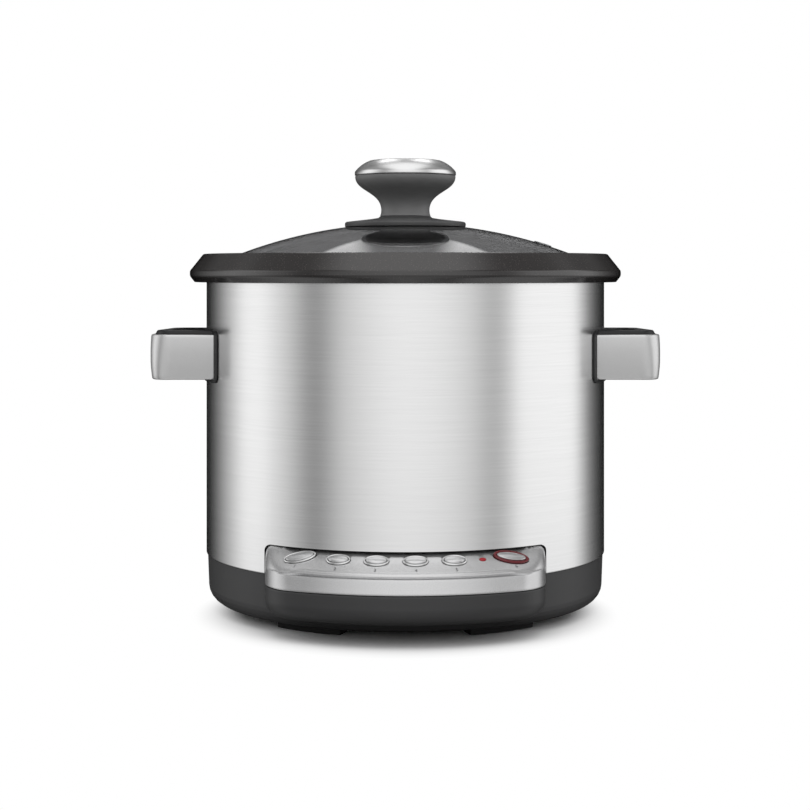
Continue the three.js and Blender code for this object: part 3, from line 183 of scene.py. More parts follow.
class CookerStudio(bpy.types.PropertyGroup):
    """Camera and light."""

    camera_distance: length("Distance", "From the body's axis", 1232)
    camera_height: length("Height", "Camera above the floor", 235)
    lens: number("Lens", "Focal length in millimetres", 77.24)
    shift: number("Shift", "Upward shift of the frame", -0.1667)
    shift_across: number("Side shift", "Sideways shift of the frame", -0.00043)
    ambient: number("Ambient", "Light level from all round", 0.78)
    key_power: number("Key light", "Watts of the overhead light", 5.5)
    side_power: number("Side light", "Watts of each side light", 2.2)


# ---------------------------------------------------------------- shader expressions


class Value:
    """A shader socket whose operators add Math nodes."""

    def __init__(self, graph, socket):
        self.graph = graph
        self.socket = socket

    def math(self, operation, first, second=0.0):
        return self.graph.node(
            "ShaderNodeMath", {"operation": operation}, {0: first, 1: second}
        )

    def __add__(self, other):
        return self.math("ADD", self, other)

    def __sub__(self, other):
        return self.math("SUBTRACT", self, other)

    def __rsub__(self, other):
        return self.math("SUBTRACT", other, self)

    def __mul__(self, other):
        return self.math("MULTIPLY", self, other)

    def __truediv__(self, other):
        return self.math("DIVIDE", self, other)

    __radd__ = __add__
    __rmul__ = __mul__

    def smooth(self, low, high):
        """0 below low, 1 above high, smooth between them."""
        return self.graph.node(
            "ShaderNodeMapRange",
            {"interpolation_type": "SMOOTHSTEP"},
            {"Value": self, "From Min": low, "From Max": high},
        )


class Graph:
    """A node tree that is emptied and built up by calls."""

    def __init__(self, tree):
        self.tree = tree
        tree.nodes.clear()

    def node(self, kind, settings=None, inputs=None, output=0):
        made = self.tree.nodes.new(kind)
        for name, value in (settings or {}).items():
            if name == "stops":
                self.set_stops(made.color_ramp, value)
            else:
                setattr(made, name, value)
        for name, value in (inputs or {}).items():
            if isinstance(value, Value):
                self.tree.links.new(value.socket, made.inputs[name])
            else:
                made.inputs[name].default_value = value
        return Value(self, made.outputs[output]) if made.outputs else made

    @staticmethod
    def set_stops(ramp, stops):
        ramp.interpolation = "B_SPLINE"
        while len(ramp.elements) > 1:
            ramp.elements.remove(ramp.elements[-1])
        for i, (place, level) in enumerate(stops):
            stop = ramp.elements[0] if i == 0 else ramp.elements.new(place)
            stop.position = place
            stop.color = (level, level, level, 1)

    def vector(self, operation, first, second=(0, 0, 0), output=0):
        inputs = {0: first, 1: second}
        return self.node("ShaderNodeVectorMath", {"operation": operation}, inputs, output)

    def mixed(self, factor, first, second):
        inputs = {0: factor, 6: first, 7: second}
        return self.node("ShaderNodeMix", {"data_type": "RGBA"}, inputs, output=2)

    def rays(self):
        """Rays that see the plain background as it is, and rays off a glossy surface."""
        path = self.node("ShaderNodeLightPath").socket.node.outputs
        camera = Value(self, path["Is Camera Ray"])
        through = Value(self, path["Is Transmission Ray"])
        glossy = Value(self, path["Is Glossy Ray"]) * (1 - through)
        return camera.math("MAXIMUM", camera, through), glossy


def rgba(value, level=1.0):
    return tuple(min(1.0, channel * level) for channel in value) + (1.0,)


def grey(level):
    return (level, level, level, 1.0)


class Finish(Graph):
    """A material. Its place is the point in the piece's own frame, in metres."""

    def __init__(self, name):
        self.material = bpy.data.materials.new(name)
        self.material.use_nodes = True
        super().__init__(self.material.node_tree)
        self.place = self.node("ShaderNodeTexCoord", output="Object")

    def surface(self, **sockets):
        """One surface shader, made from the values of its sockets."""
        names = {
            key.replace("_", " ").title().replace("Ior", "IOR"): value
            for key, value in sockets.items()
        }
        shader = self.node("ShaderNodeBsdfPrincipled", None, names)
        self.node("ShaderNodeOutputMaterial", None, {"Surface": shader})
        return self.material

    def stretched(self, stretch):
        """The place, drawn out along the axes with the smaller numbers."""
        return self.vector("MULTIPLY", self.place, stretch) if stretch else self.place

    def noise(self, scale, detail=2.0, roughness=0.5, stretch=None):
        inputs = {"Scale": scale, "Detail": detail, "Roughness": roughness}
        inputs["Vector"] = self.stretched(stretch)
        return self.node("ShaderNodeTexNoise", None, inputs)

    def cells(self, scale, stretch=None):
        inputs = {"Vector": self.stretched(stretch), "Scale": scale}
        return self.node("ShaderNodeTexVoronoi", None, inputs)

    def distance(self, centre, stretch):
        """Distance from a centre, with the axes stretched."""
        away = self.vector("SUBTRACT", self.place, centre)
        return self.vector("LENGTH", self.vector("MULTIPLY", away, stretch), output="Value")

    def shades(self, factor, tone, first, second):
        """One tone at two levels, mixed by the factor."""
        return self.mixed(factor, rgba(tone, first), rgba(tone, second))

    def bumped(self, height, strength, depth):
        inputs = {"Strength": strength, "Distance": depth * MM, "Height": height}
        return self.node("ShaderNodeBump", None, inputs)


def brushed_steel(colours):
    """Fine level brushing, with broader streaks and a faint cloud."""
    finish = Finish("brushed_steel")
    fine = finish.noise(1.0, 3.0, 0.65, (22, 22, 2600))
    broad = finish.noise(1.0, stretch=(6, 6, 500))
    cloud = finish.noise(9.0)
    lines = fine * 0.75 + broad * 0.25
    return finish.surface(
        base_color=finish.shades(lines.smooth(0.25, 0.75), colours.steel, 0.95, 1.03),
        metallic=1.0,
        roughness=0.15 + lines * 0.08 + cloud * 0.04,
        normal=finish.bumped(lines, 0.12, 0.03),
    )


def polished_steel(name, tone, roughness):
    """Steel with a haze and a few fine scratches."""
    finish = Finish(name)
    haze = finish.noise(60.0)
    scratch = finish.noise(1.0, stretch=(900, 160, 900))
    return finish.surface(
        base_color=finish.shades(haze, tone, 0.96, 1.03),
        metallic=1.0,
        roughness=roughness + haze * 0.05 + scratch.smooth(0.62, 0.8) * 0.05,
        normal=finish.bumped(scratch, 0.03, 0.02),
    )


def plain_steel(colours):
    finish = Finish("plain_steel")
    grain = finish.noise(700.0, 3.0, 0.6)
    stain = finish.noise(55.0)
    return finish.surface(
        base_color=finish.shades(stain, colours.plain_steel, 0.85, 1.1),
        metallic=1.0,
        roughness=0.26 + grain * 0.18,
        normal=finish.bumped(grain, 0.15, 0.04),
    )


def turned_aluminium(colours):
    """Rings as a lathe leaves them, round the body's axis."""
    finish = Finish("turned_aluminium")
    radius = finish.distance((0, AXIS_Y * MM, 0), (1, 1, 0))
    rings = radius.math("SINE", radius * 5200.0)
    grain = finish.noise(1.0, 3.0, 0.6, (60, 60, 1500))
    return finish.surface(
        base_color=finish.shades(grain.smooth(0.3, 0.7), colours.aluminium, 0.86, 1.06),
        metallic=1.0,
        roughness=0.30 + grain * 0.20,
        normal=finish.bumped(rings * 0.5 + grain, 0.25, 0.04),
    )


def painted(name, tone, metallic, roughness, coat):
    """Silver paint with fine flakes under a thin clear coat."""
    finish = Finish(name)
    flakes = finish.cells(5200.0)
    cloud = finish.noise(40.0)
    sparkle = flakes.smooth(0.15, 0.7)
    return finish.surface(
        base_color=finish.shades(sparkle, tone, 1.05, 0.93),
        metallic=metallic,
        roughness=roughness + cloud * 0.03 + sparkle * 0.03,
        coat_weight=coat,
        coat_roughness=0.08,
        normal=finish.bumped(flakes, 0.03, 0.02),
    )


def moulded(name, tone, roughness, grain_scale=2600.0, grain_strength=0.12):
    """Moulded plastic with a fine satin grain and faint flow marks."""
    finish = Finish(name)
    grain = finish.noise(grain_scale, 3.0, 0.6)
    flow = finish.noise(22.0, stretch=(1, 1, 2))
    return finish.surface(
        base_color=finish.shades(flow, tone, 0.9, 1.12),
        roughness=roughness + grain * 0.10 + flow * 0.05,
        normal=finish.bumped(grain, grain_strength, 0.05),
    )


def bowl_coating(colours):
    """A dark coat with large and small specks under a gloss."""
    finish = Finish("bowl_coating")
    large = finish.cells(620.0)
    small = finish.cells(1500.0)
    cloud = finish.noise(34.0, 3.0, 0.6)
    specks = (1 - large.smooth(0.10, 0.26)) * 0.8 + (1 - small.smooth(0.08, 0.2)) * 0.5
    ground = finish.shades(cloud, colours.coating, 0.8, 1.5)
    return finish.surface(
        base_color=finish.mixed(specks, ground, rgba(colours.speck)),
        roughness=0.36 + cloud * 0.10 + specks * 0.1,
        specular_ior_level=0.1,
        coat_weight=1.0,
        coat_ior=1.8,
        coat_roughness=0.16,
        normal=finish.bumped(finish.noise(900.0), 0.12, 0.06),
    )


def rubber(colours):
    finish = Finish("rubber")
    grain = finish.noise(1400.0, 3.0, 0.6)
    dust = finish.noise(90.0, 3.0, 0.6)
    return finish.surface(
        base_color=finish.shades(dust.smooth(0.5, 0.8), colours.rubber, 1.0, 2.2),
        roughness=0.72 + grain * 0.18,
        normal=finish.bumped(grain, 0.3, 0.06),
    )


def lid_glass(colours):
    finish = Finish("lid_glass")
    ripple = finish.noise(16.0)
    haze = finish.noise(60.0, 3.0, 0.6)
    return finish.surface(
        base_color=rgba(colours.glass),
        roughness=0.004 + haze.smooth(0.5, 0.9) * 0.02,
        transmission_weight=1.0,
        ior=1.47,
        normal=finish.bumped(ripple, 0.03, 0.3),
    )


def glossy_red(name, tone, glow=0.0):
    finish = Finish(name)
    depth = finish.noise(400.0)
    return finish.surface(
        base_color=finish.shades(depth, tone, 0.8, 1.2),
        roughness=0.20 + depth * 0.08,
        coat_weight=0.3,
        coat_roughness=0.08,
        emission_color=rgba(tone),
        emission_strength=glow,
    )


def circuit_board(colours):
    finish = Finish("circuit_board")
    tracks = finish.cells(260.0, (1, 1, 0.2))
    fibre = finish.noise(1200.0)
    copper = 1 - tracks.smooth(0.16, 0.2)
    return finish.surface(
        base_color=finish.mixed(copper, rgba(colours.circuit), rgba(colours.track)),
        roughness=0.34 + fibre * 0.12,
        normal=finish.bumped(tracks, 0.15, 0.05),
    )


def ceramic(colours):
    finish = Finish("ceramic")
    grain = finish.noise(1100.0, 4.0, 0.7)
    stain = finish.noise(70.0)
    return finish.surface(
        base_color=finish.shades(stain, colours.ceramic, 0.88, 1.08),
        roughness=0.55 + grain * 0.2,
        normal=finish.bumped(grain, 0.3, 0.06),
    )


def marking(colours):
    finish = Finish("marking")
    edge = finish.noise(3000.0)
    return finish.surface(
        base_color=finish.shades(edge, colours.marking, 0.8, 1.3),
        roughness=0.45 + edge * 0.1,
    )


MAKERS = {
    "brushed_steel": brushed_steel,
    "polished_steel": lambda c: polished_steel("polished_steel", c.polished, 0.05),
    "satin_steel": lambda c: polished_steel("satin_steel", c.polished, 0.26),
    "plain_steel": plain_steel,
    "aluminium": turned_aluminium,
    "silver_plastic": lambda c: painted("silver_paint", c.silver, 0.85, 0.24, 0.1),
    "handle_silver": lambda c: painted("strap_silver", c.strap, 0.78, 0.28, 0.05),
    "button_silver": lambda c: painted("button_silver", c.silver, 0.9, 0.20, 0.2),
    "dark_plastic": lambda c: moulded("dark_plastic", c.dark, 0.34),
    # The knob's plastic, lightened for the grip: painted light on its shaded waist.
    "knob_plastic": lambda c: moulded("knob_plastic", c.knob, 0.36),
    # The knob's plastic, darkened for the flange: painted shade on its lit top.
    "flange_plastic": lambda c: moulded("flange_plastic", c.flange, 0.36),
    "black_plastic": lambda c: moulded("black_plastic", c.black, 0.36),
    "bowl_coating": bowl_coating,
    "rubber": rubber,
    "glass": lid_glass,
    "red_plastic": lambda c: glossy_red("ring_red", c.red),
    "red_lamp": lambda c: glossy_red("lamp_red", c.lamp, 0.12),
    "lead_red": lambda c: moulded("lead_red", c.lead, 0.45, 1800.0, 0.2),
    "circuit": circuit_board,
    "ivory": ceramic,
    "marking": marking,
}
made_finishes = {}


def finish_named(name):
    """Makes each finish once, when a piece first asks for it."""
    if name not in made_finishes:
        made_finishes[name] = MAKERS[name](bpy.context.scene.cooker_colours)
    return made_finishes[name]


# ---------------------------------------------------------------- outlines and meshes

LONG_STRETCH = 2.4
STRETCH_END = 0.4


def at_turn(radius, turn):
    """The point (x, y) at a radius and an angle from the front, in radians."""
    return radius * math.sin(turn), -radius * math.cos(turn)


def eased(share):
    """Keeps a share between 0 and 1, and softens both ends."""
    share = min(1.0, max(0.0, share))
    return share * share * (3 - 2 * share)


def supported(points, closed):
    """Adds a point close to each end of a long straight stretch, to keep it flat."""
    kept = []
    pairs = list(zip(points, points[1:] + points[:1]))
    for (x0, y0), (x1, y1) in pairs if closed else pairs[:-1]:
        kept.append((x0, y0))
        run = math.hypot(x1 - x0, y1 - y0)
        if run > LONG_STRETCH:
            for share in (STRETCH_END / run, 1 - STRETCH_END / run):
                kept.append((x0 + (x1 - x0) * share, y0 + (y1 - y0) * share))
    return kept if closed else kept + [points[-1]]


def filleted(corners, closed=True, steps=5):
    """An outline of (x, y, rounding) corners, with an arc at each rounded one."""
    points = []
    count = len(corners)
    for i, (x, y, rounding) in enumerate(corners):
        if rounding <= 0 or not closed and i in (0, count - 1):
            points.append((x, y))
            continue
        here = Vector((x, y))
        before = Vector(corners[i - 1][:2]) - here
        after = Vector(corners[(i + 1) % count][:2]) - here
        half = before.angle(after) / 2
        reach = min(rounding / math.tan(half), 0.49 * before.length, 0.49 * after.length)
        radius = reach * math.tan(half)
        bisector = (before.normalized() + after.normalized()).normalized()
        centre = here + bisector * math.hypot(reach, radius)
        start = here + before.normalized() * reach - centre
        stop = here + after.normalized() * reach - centre
        first = math.atan2(start.y, start.x)
        sweep = math.remainder(math.atan2(stop.y, stop.x) - first, math.tau)
        for k in range(steps + 1):
            turn = first + sweep * k / steps
            points.append(
                (centre.x + radius * math.cos(turn), centre.y + radius * math.sin(turn))
            )
    return supported(points, closed)


def rounded_box(x0, x1, z0, z1, rounding, steps=5):
    corners = ((x0, z0), (x1, z0), (x1, z1), (x0, z1))
    return filleted([(x, z, rounding) for x, z in corners], steps=steps)


def oval(half_length, half_height, steps=56):
    """A closed anticlockwise oval."""
    turns = [math.tau * i / steps for i in range(steps)]
    return [(half_length * math.cos(t), half_height * math.sin(t)) for t in turns]


def bezier(ends, steps):
    """Points on a curve from its four control points."""
    points = []
    for i in range(steps + 1):
        t = i / steps
        weights = ((1 - t) ** 3, 3 * t * (1 - t) ** 2, 3 * t * t * (1 - t), t**3)
        points.append(tuple(sum(w * p[k] for w, p in zip(weights, ends)) for k in (0, 1)))
    return points


def inset_loop(loop, inset):
    """A closed anticlockwise loop of (x, y) points moved inwards."""
    moved = []
    count = len(loop)
    for i, (x, y) in enumerate(loop):
        before = Vector((x, y)) - Vector(loop[i - 1])
        after = Vector(loop[(i + 1) % count]) - Vector((x, y))
        along = before.normalized() + after.normalized()
        normal = Vector((-along.y, along.x)).normalized()
        side = Vector((-before.y, before.x)).normalized()
        miter = inset / max(0.4, normal.dot(side))
        moved.append((x + normal.x * miter, y + normal.y * miter))
    return moved


def lifted(loop, height):
    return [(x, y, height) for x, y in loop]


def placed(matrix, loops):
    return [[tuple(matrix @ Vector(point)) for point in loop] for loop in loops]


def joined(pairs, steps):
    """Faces between pairs of rings. A ring of one point makes a fan."""
    faces = []
    for low, high in pairs:
        for i in range(steps):
            j = (i + 1) % steps
            corners = [low[i % len(low)], low[j % len(low)]]
            corners += [high[j % len(high)], high[i % len(high)]]
            face = list(dict.fromkeys(corners))
            if len(face) > 2:
                faces.append(face)
    return faces


def turned(profile, steps=ROUND):
    """Vertices and faces of (radius, height) points turned round the axis."""
    vertices, rings = [], []
    for radius, height in profile:
        count = 1 if radius < TINY else steps
        rings.append(range(len(vertices), len(vertices) + count))
        for i in range(count):
            vertices.append((*at_turn(radius, math.tau * i / steps), height))
    pairs = list(zip(rings, rings[1:]))
    if len(rings[0]) > 1 and len(rings[-1]) > 1:
        pairs.append((rings[-1], rings[0]))
    return vertices, joined(pairs, steps)


def stacked(loops, ring=False):
    """Vertices and faces through closed loops, with end faces or back to the first."""
    steps = len(loops[0])
    rings = [range(i * steps, (i + 1) * steps) for i in range(len(loops))]
    pairs = list(zip(rings, rings[1:]))
    faces = joined(pairs + [(rings[-1], rings[0])] if ring else pairs, steps)
    if not ring:
        faces += [list(rings[0]), list(rings[-1])]
    return [point for loop in loops for point in loop], faces


def new_piece(name, vertices, faces):
    """A mesh object from points in millimetres about the body's axis."""
    mesh = bpy.data.meshes.new(name)
    points = [(x * MM, (y + AXIS_Y) * MM, z * MM) for x, y, z in vertices]
    mesh.from_pydata(points, [], faces)
    work = bmesh.new()
    work.from_mesh(mesh)
    bmesh.ops.remove_doubles(work, verts=work.verts, dist=TINY)
    bmesh.ops.recalc_face_normals(work, faces=work.faces)
    work.to_mesh(mesh)
    work.free()
    return linked(name, mesh)


def linked(name, data):
    piece = bpy.data.objects.new(name, data)
    bpy.context.scene.collection.objects.link(piece)
    return piece


def lathed(name, corners, steps, closed=True, rounds=ROUND):
    """A piece turned round the axis from (radius, height, rounding) corners."""
    return new_piece(name, *turned(filleted(corners, closed, steps), rounds))


def tube(name, inner, outer, low, high):
    """A plain turned ring, or a disc where its inner radius is nothing."""
    return new_piece(
        name, *turned([(inner, low), (outer, low), (outer, high), (inner, high)])
    )


def front_block(name, outline, ends):
    """An outline seen from the front, as a block between two depths."""
    return new_piece(name, *stacked([[(x, y, z) for x, z in outline] for y in ends]))


def side_block(name, outline, ends):
    """An outline seen from the side, as a block between two widths."""
    return new_piece(name, *stacked([[(x, y, z) for y, z in outline] for x in ends]))


def settled(piece):
    """Makes the piece's modifiers part of its mesh."""
    bpy.context.view_layer.update()
    graph = bpy.context.evaluated_depsgraph_get()
    mesh = bpy.data.meshes.new_from_object(piece.evaluated_get(graph))
    piece.modifiers.clear()
    piece.data = mesh
    return piece


def carved(piece, cutters, operation="DIFFERENCE"):
    """Cuts, joins or overlaps the piece with other pieces, which are used up."""
    for cutter in cutters:
        change = piece.modifiers.new("carve", "BOOLEAN")
        change.operation = operation
        change.solver = "EXACT"
        change.object = cutter
        settled(piece)
        bpy.data.objects.remove(cutter)
    work = bmesh.new()
    work.from_mesh(piece.data)
    bmesh.ops.remove_doubles(work, verts=work.verts, dist=TINY)
    bmesh.ops.dissolve_degenerate(work, edges=work.edges, dist=TINY)
    work.to_mesh(piece.data)
    work.free()
    return piece


def bevelled(piece, width, segments=2):
    """Adds a modifier that rounds the piece's sharp edges."""
    bevel = piece.modifiers.new("soften", "BEVEL")
    bevel.width = width * MM
    bevel.segments = segments
    bevel.limit_method = "ANGLE"
    bevel.angle_limit = math.radians(35)
    return bevel


def softened(piece, width, segments=2):
    bevelled(piece, width, segments)
    return settled(piece)


def dressed(piece, body, slot, finish=None, replaces=(), sharp=32):
    """Smooths, colours and places a finished piece."""
    mesh = piece.data
    mesh.polygons.foreach_set("use_smooth", [True] * len(mesh.polygons))
    mesh.set_sharp_from_angle(angle=math.radians(sharp))
    mesh.materials.clear()
    mesh.materials.append(finish_named(finish or slot))
    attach(piece, body)
    if replaces:
        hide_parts(*replaces)
    return piece


def refinished(node, finish, edge=0.0):
    """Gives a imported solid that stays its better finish, and rounds its edges."""
    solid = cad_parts[node]
    solid.data.materials.clear()
    solid.data.materials.append(finish_named(finish))
    if edge:
        bevelled(solid, edge).harden_normals = True


# ---------------------------------------------------------------- shapes that pieces share

PANEL_FRONT = AXIS_Y - PANEL_LOW.y
PANEL_HALF = PANEL_HIGH.x - 0.9
PANEL_BACK = 60.0  # where the panel's outline is closed, in front of the axis
PANEL_STEPS = 120

# Buttons: name, angle from the front, spin, half length, half height, ring width
BUTTONS = [
    ("power", -27.1, 20.0, 10.7, 4.9, 1.0),
    ("program_1", -16.7, 0.0, 8.0, 4.5, 1.0),
    ("program_2", -7.1, 0.0, 8.0, 4.5, 1.0),
    ("program_3", 2.5, 0.0, 8.0, 4.5, 1.0),
    ("program_4", 12.1, 0.0, 8.0, 4.5, 1.0),
    ("start", 27.2, -15.0, 12.0, 5.7, 1.9),
]
LAMP_TURN = 19.4
LAMP_HALF = (2.2, 1.4)


def panel_radius(turn, inset):
    """Distance from the axis to the panel's outline, moved in, at an angle from the front."""
    corner = bpy.context.scene.cooker_panel.corner / MM - inset
    half = PANEL_HALF - inset
    front = PANEL_FRONT - inset
    across = half - corner
    ahead = math.sqrt((front - corner) ** 2 - across**2)
    turn = abs(turn)
    if turn <= math.atan2(across, ahead):
        return front
    if turn >= math.atan2(half, ahead):
        return half / math.sin(turn)
    middle = across * math.sin(turn) + ahead * math.cos(turn)
    return middle + math.sqrt(middle**2 - across**2 - ahead**2 + corner**2)


def panel_block(name, rows):
    """A block in the panel's plan, through rows of (inset, height)."""
    loops = []
    for inset, height in rows:
        reach = math.atan2(PANEL_HALF - inset, PANEL_BACK)
        turns = [reach * (2 * i / PANEL_STEPS - 1) for i in range(PANEL_STEPS + 1)]
        loops.append(lifted([at_turn(panel_radius(t, inset), t) for t in turns], height))
    return new_piece(name, *stacked(loops))


def slope():
    """Slope of the panel's face: its edge's radius and height, its angle and its run."""
    edge_radius = PANEL_FRONT - 2.6
    edge_height = PANEL_LOW.z + bpy.context.scene.cooker_panel.face_edge / MM
    run = edge_radius - SHELL_HIGH.x
    return edge_radius, edge_height, math.atan2(PANEL_HIGH.z - edge_height, run), run


def slope_height(radius):
    edge_radius, edge_height, tilt, _ = slope()
    return edge_height + (edge_radius - radius) * math.tan(tilt)


def slope_frame(turn_degrees, spin_degrees, share):
    """X along the face, Y up the slope, Z out of it; in millimetres about the axis."""
    edge_radius, edge_height, tilt, run = slope()
    turn = math.radians(turn_degrees)
    along = Vector((math.cos(turn), math.sin(turn), 0))
    outward = Vector((*at_turn(math.sin(tilt), turn), math.cos(tilt)))
    matrix = Matrix((along, outward.cross(along), outward)).transposed().to_4x4()
    height = edge_height + run * math.tan(tilt) * share
    matrix.translation = (*at_turn(edge_radius - run * share, turn), height)
    return matrix @ Matrix.Rotation(math.radians(spin_degrees), 4, "Z")


def on_face(name, turn, spin, loops, ring=False):
    """A piece that stands on the panel's face, where the buttons are."""
    matrix = slope_frame(turn, spin, bpy.context.scene.cooker_panel.place_share)
    return new_piece(name, *stacked(placed(matrix, loops), ring=ring))


def dome_height(radius, offset=0.0):
    """Height of the lid's dome. The band's lower lip rests on the bowl's ledge."""
    sizes = bpy.context.scene.cooker_body
    low = (sizes.glass_sphere - sizes.glass_thickness - sizes.band_lip) / MM
    lip = GLASS_EDGE + 0.3 + 1.6
    centre = LEDGE + GAP - math.sqrt(low**2 - lip**2)
    return centre + math.sqrt((sizes.glass_sphere / MM + offset) ** 2 - radius**2)


# ---------------------------------------------------------------- pieces


class MULTICOOKER_OT_shell(bpy.types.Operator):
    """Builds the brushed steel shell with its window, and a black ring in the gap round the panel
    that stands in for the gap's shade (painted shade)
    """

    bl_idname = "multicooker.shell"
    bl_label = "Steel Shell"

    def execute(self, context):
        sizes = context.scene.cooker_body
        outside = SHELL_HIGH.x
        low, high = SHELL_LOW.z, SHELL_HIGH.z
        shell = lathed("shell", [
            (outside - SHELL_WALL, low, 0.3),
            (outside, low, sizes.shell_edge / MM),
            (outside, high, 0.8),
            (outside - 10.0, high, 0.3),
            (outside - 10.0, high - SHELL_WALL, 0.3),
            (outside - SHELL_WALL, high - SHELL_WALL, 0.6),
        ], steps=3)
        gap = sizes.window_gap / MM
        carved(shell, [self.window("window", gap)])
        dressed(shell, "cooker", "brushed_steel", replaces=["outer_shell"])
        # A black ring fills the gap round the panel: painted shade of that gap.
        gap_shade = tube("window_trim", outside - 2.2, outside - 0.35, 30, 62)
        carved(gap_shade, [self.window("outer", gap - 0.05)], "INTERSECT")
        carved(gap_shade, [self.window("inner", -0.1)])
        dressed(gap_shade, "cooker", "black_plastic")
        return {"FINISHED"}

    @staticmethod
    def window(name, gap):
        """The panel's outline from the front, as a block that reaches forward."""
        half = PANEL_HIGH.x + gap
        top = PANEL_HIGH.z + gap
        corner = 4.2 + gap
        outline = filleted(
            [(-half, 0, 0), (half, 0, 0), (half, top, corner), (-half, top, corner)], steps=8
        )
        return front_block(name, outline, (-200.0, -60.0))


class MULTICOOKER_OT_base(bpy.types.Operator):
    """Builds the dark moulded base with the bulge that carries the panel"""

    bl_idname = "multicooker.base"
    bl_label = "Base"

    def execute(self, context):
        sizes = context.scene.cooker_body
        low = node_box("base_housing")[0].z
        outside = SHELL_HIGH.x - SHELL_WALL
        inside = outside - 2.7
        lip = SEAM + 9.5
        floor = low + 4.0
        cover = node_box("bottom_cover")[1].x
        base = lathed("base", [
            (cover + GAP, low, 0.3),
            (outside - sizes.base_taper / MM, low, sizes.base_corner / MM),
            (outside, SEAM, 0.7),
            (outside - 0.4, SEAM, 0),
            (outside - 0.4, lip, 0.5),
            (inside, lip, 0.5),
            (inside, floor, 4.0),
            (cover - 10.5, floor, 0.5),
            (cover - 10.5, low + 2.5, 0),
            (cover + GAP, low + 2.5, 0),
        ], steps=6)
        rise = low + sizes.tray_rise / MM
        rounding = sizes.tray_rounding / MM
        seat = PANEL_LOW.z - GAP
        rows = []
        for i in range(10):
            turn = math.pi / 2 * i / 9
            rows.append((rounding * (1 - math.sin(turn)), rise + rounding * (1 - math.cos(turn))))
        rows += [(0.0, rise + rounding + 0.5), (0.0, seat - 1.2), (0.0, seat - 0.7)]
        rows += [(0.2, seat - 0.2), (0.7, seat)]
        tray = panel_block("tray", rows)
        carved(tray, [tube("core", 0, inside + 1, 2, 60)])
        carved(base, [tray], "UNION")
        hollow = panel_block("hollow", [(9.0, rise + 3.0), (3.2, rise + 9.0), (3.2, 60.0)])
        carved(hollow, [tube("ring", 0, outside, 2, 70)])
        carved(base, [hollow, panel_block("top", [(-0.25, seat), (-0.25, 60.0)])])
        self.add_boss(base, outside)
        dressed(base, "cooker", "dark_plastic", replaces=["base_housing"])
        return {"FINISHED"}

    @staticmethod
    def add_boss(base, outside):
        """The flat boss at the rear that the mains inlet sits in."""
        low, high = node_box("inlet_socket")
        face = outside + 2.5
        outline = rounded_box(low.x - 2.3, high.x + 2.3, low.z - 0.4, high.z + 0.4, 2.0)
        boss = softened(front_block("boss", outline, (outside - 6.0, face)), 0.6)
        outline = rounded_box(low.x + 2.7, high.x - 2.7, low.z + 2.4, high.z - 2.4, 0.6)
        hole = front_block("hole", outline, (outside - 30.0, face + 5.0))
        carved(base, [boss], "UNION")
        carved(base, [hole])


class MULTICOOKER_OT_feet(bpy.types.Operator):
    """Builds the four rubber feet and finishes the bottom cover and its screws"""

    bl_idname = "multicooker.feet"
    bl_label = "Feet and Cover"

    def execute(self, _context):
        base_height, sunk = 33.0, 1.7  # a foot stands a little way into the base
        top = SEAM - base_height + sunk
        inner, outer = 111.0, 123.0
        offset = 31.5  # degrees from the front or the rear to a foot
        spread = math.radians(11.5)
        middles = (-offset - 90, offset - 90, 90 + offset, 90 - offset)
        for index, middle in enumerate(middles, 1):
            centre = math.radians(middle)
            arc = [centre - spread + 2 * spread * i / 14 for i in range(15)]
            outline = [(outer * math.cos(t), outer * math.sin(t)) for t in arc]
            outline += [(inner * math.cos(t), inner * math.sin(t)) for t in reversed(arc)]
            rows = [(1.0, 0.0), (0.3, 0.3), (0.0, 1.0), (0.0, top)]
            loops = [lifted(inset_loop(outline, inset), z) for inset, z in rows]
            foot = new_piece(f"foot_pad_{index}", *stacked(loops))
            dressed(foot, "cooker", "rubber", replaces=[f"foot_{index}"])
        refinished("bottom_cover", "black_plastic", 0.3)
        for index in (1, 2, 3):
            refinished(f"cover_screw_{index}", "plain_steel", 0.2)
        return {"FINISHED"}


class MULTICOOKER_OT_bowl(bpy.types.Operator):
    """Builds the lift-out bowl with its wide coated rim"""

    bl_idname = "multicooker.bowl"
    bl_label = "Cooking Bowl"

    def execute(self, context):
        crown = BOWL_HIGH.z
        outside = BOWL_HIGH.x
        skirt = LEDGE - 7.5
        inside, wall, floor = 118.0, 2.5, 100.0
        bowl = lathed("bowl", [
            (0, BOWL_LOW.z, 0),
            (inside + wall, BOWL_LOW.z, 18.5),
            (inside + wall, LEDGE - 3.0, 0.8),
            (133.6, LEDGE - 3.0, 0.8),
            (138.6, crown - 3.4, 1.6),
            (141.8, crown - 2.8, 1.0),
            (148.4, LEDGE - 1.6, 1.0),
            (147.4, skirt + 0.5, 0.3),
            (148.2, skirt - 0.1, 0.5),
            (outside + 0.15, LEDGE - 3.2, context.scene.cooker_body.rim_round / MM),
            (outside + 0.1, LEDGE + 0.4, 2.4),
            (142.2, crown + 1.2, 2.0),
            (136.4, crown + 1.2, 2.4),
            (131.3, LEDGE + 2.4, 1.2),
            (131.1, LEDGE, 0.5),
            (inside, LEDGE, 1.4),
            (inside, floor, 16.0),
            (0, floor, 0),
        ], steps=9, closed=False)
        dressed(bowl, "bowl", "bowl_coating", replaces=["cooking_bowl"], sharp=40)
        return {"FINISHED"}


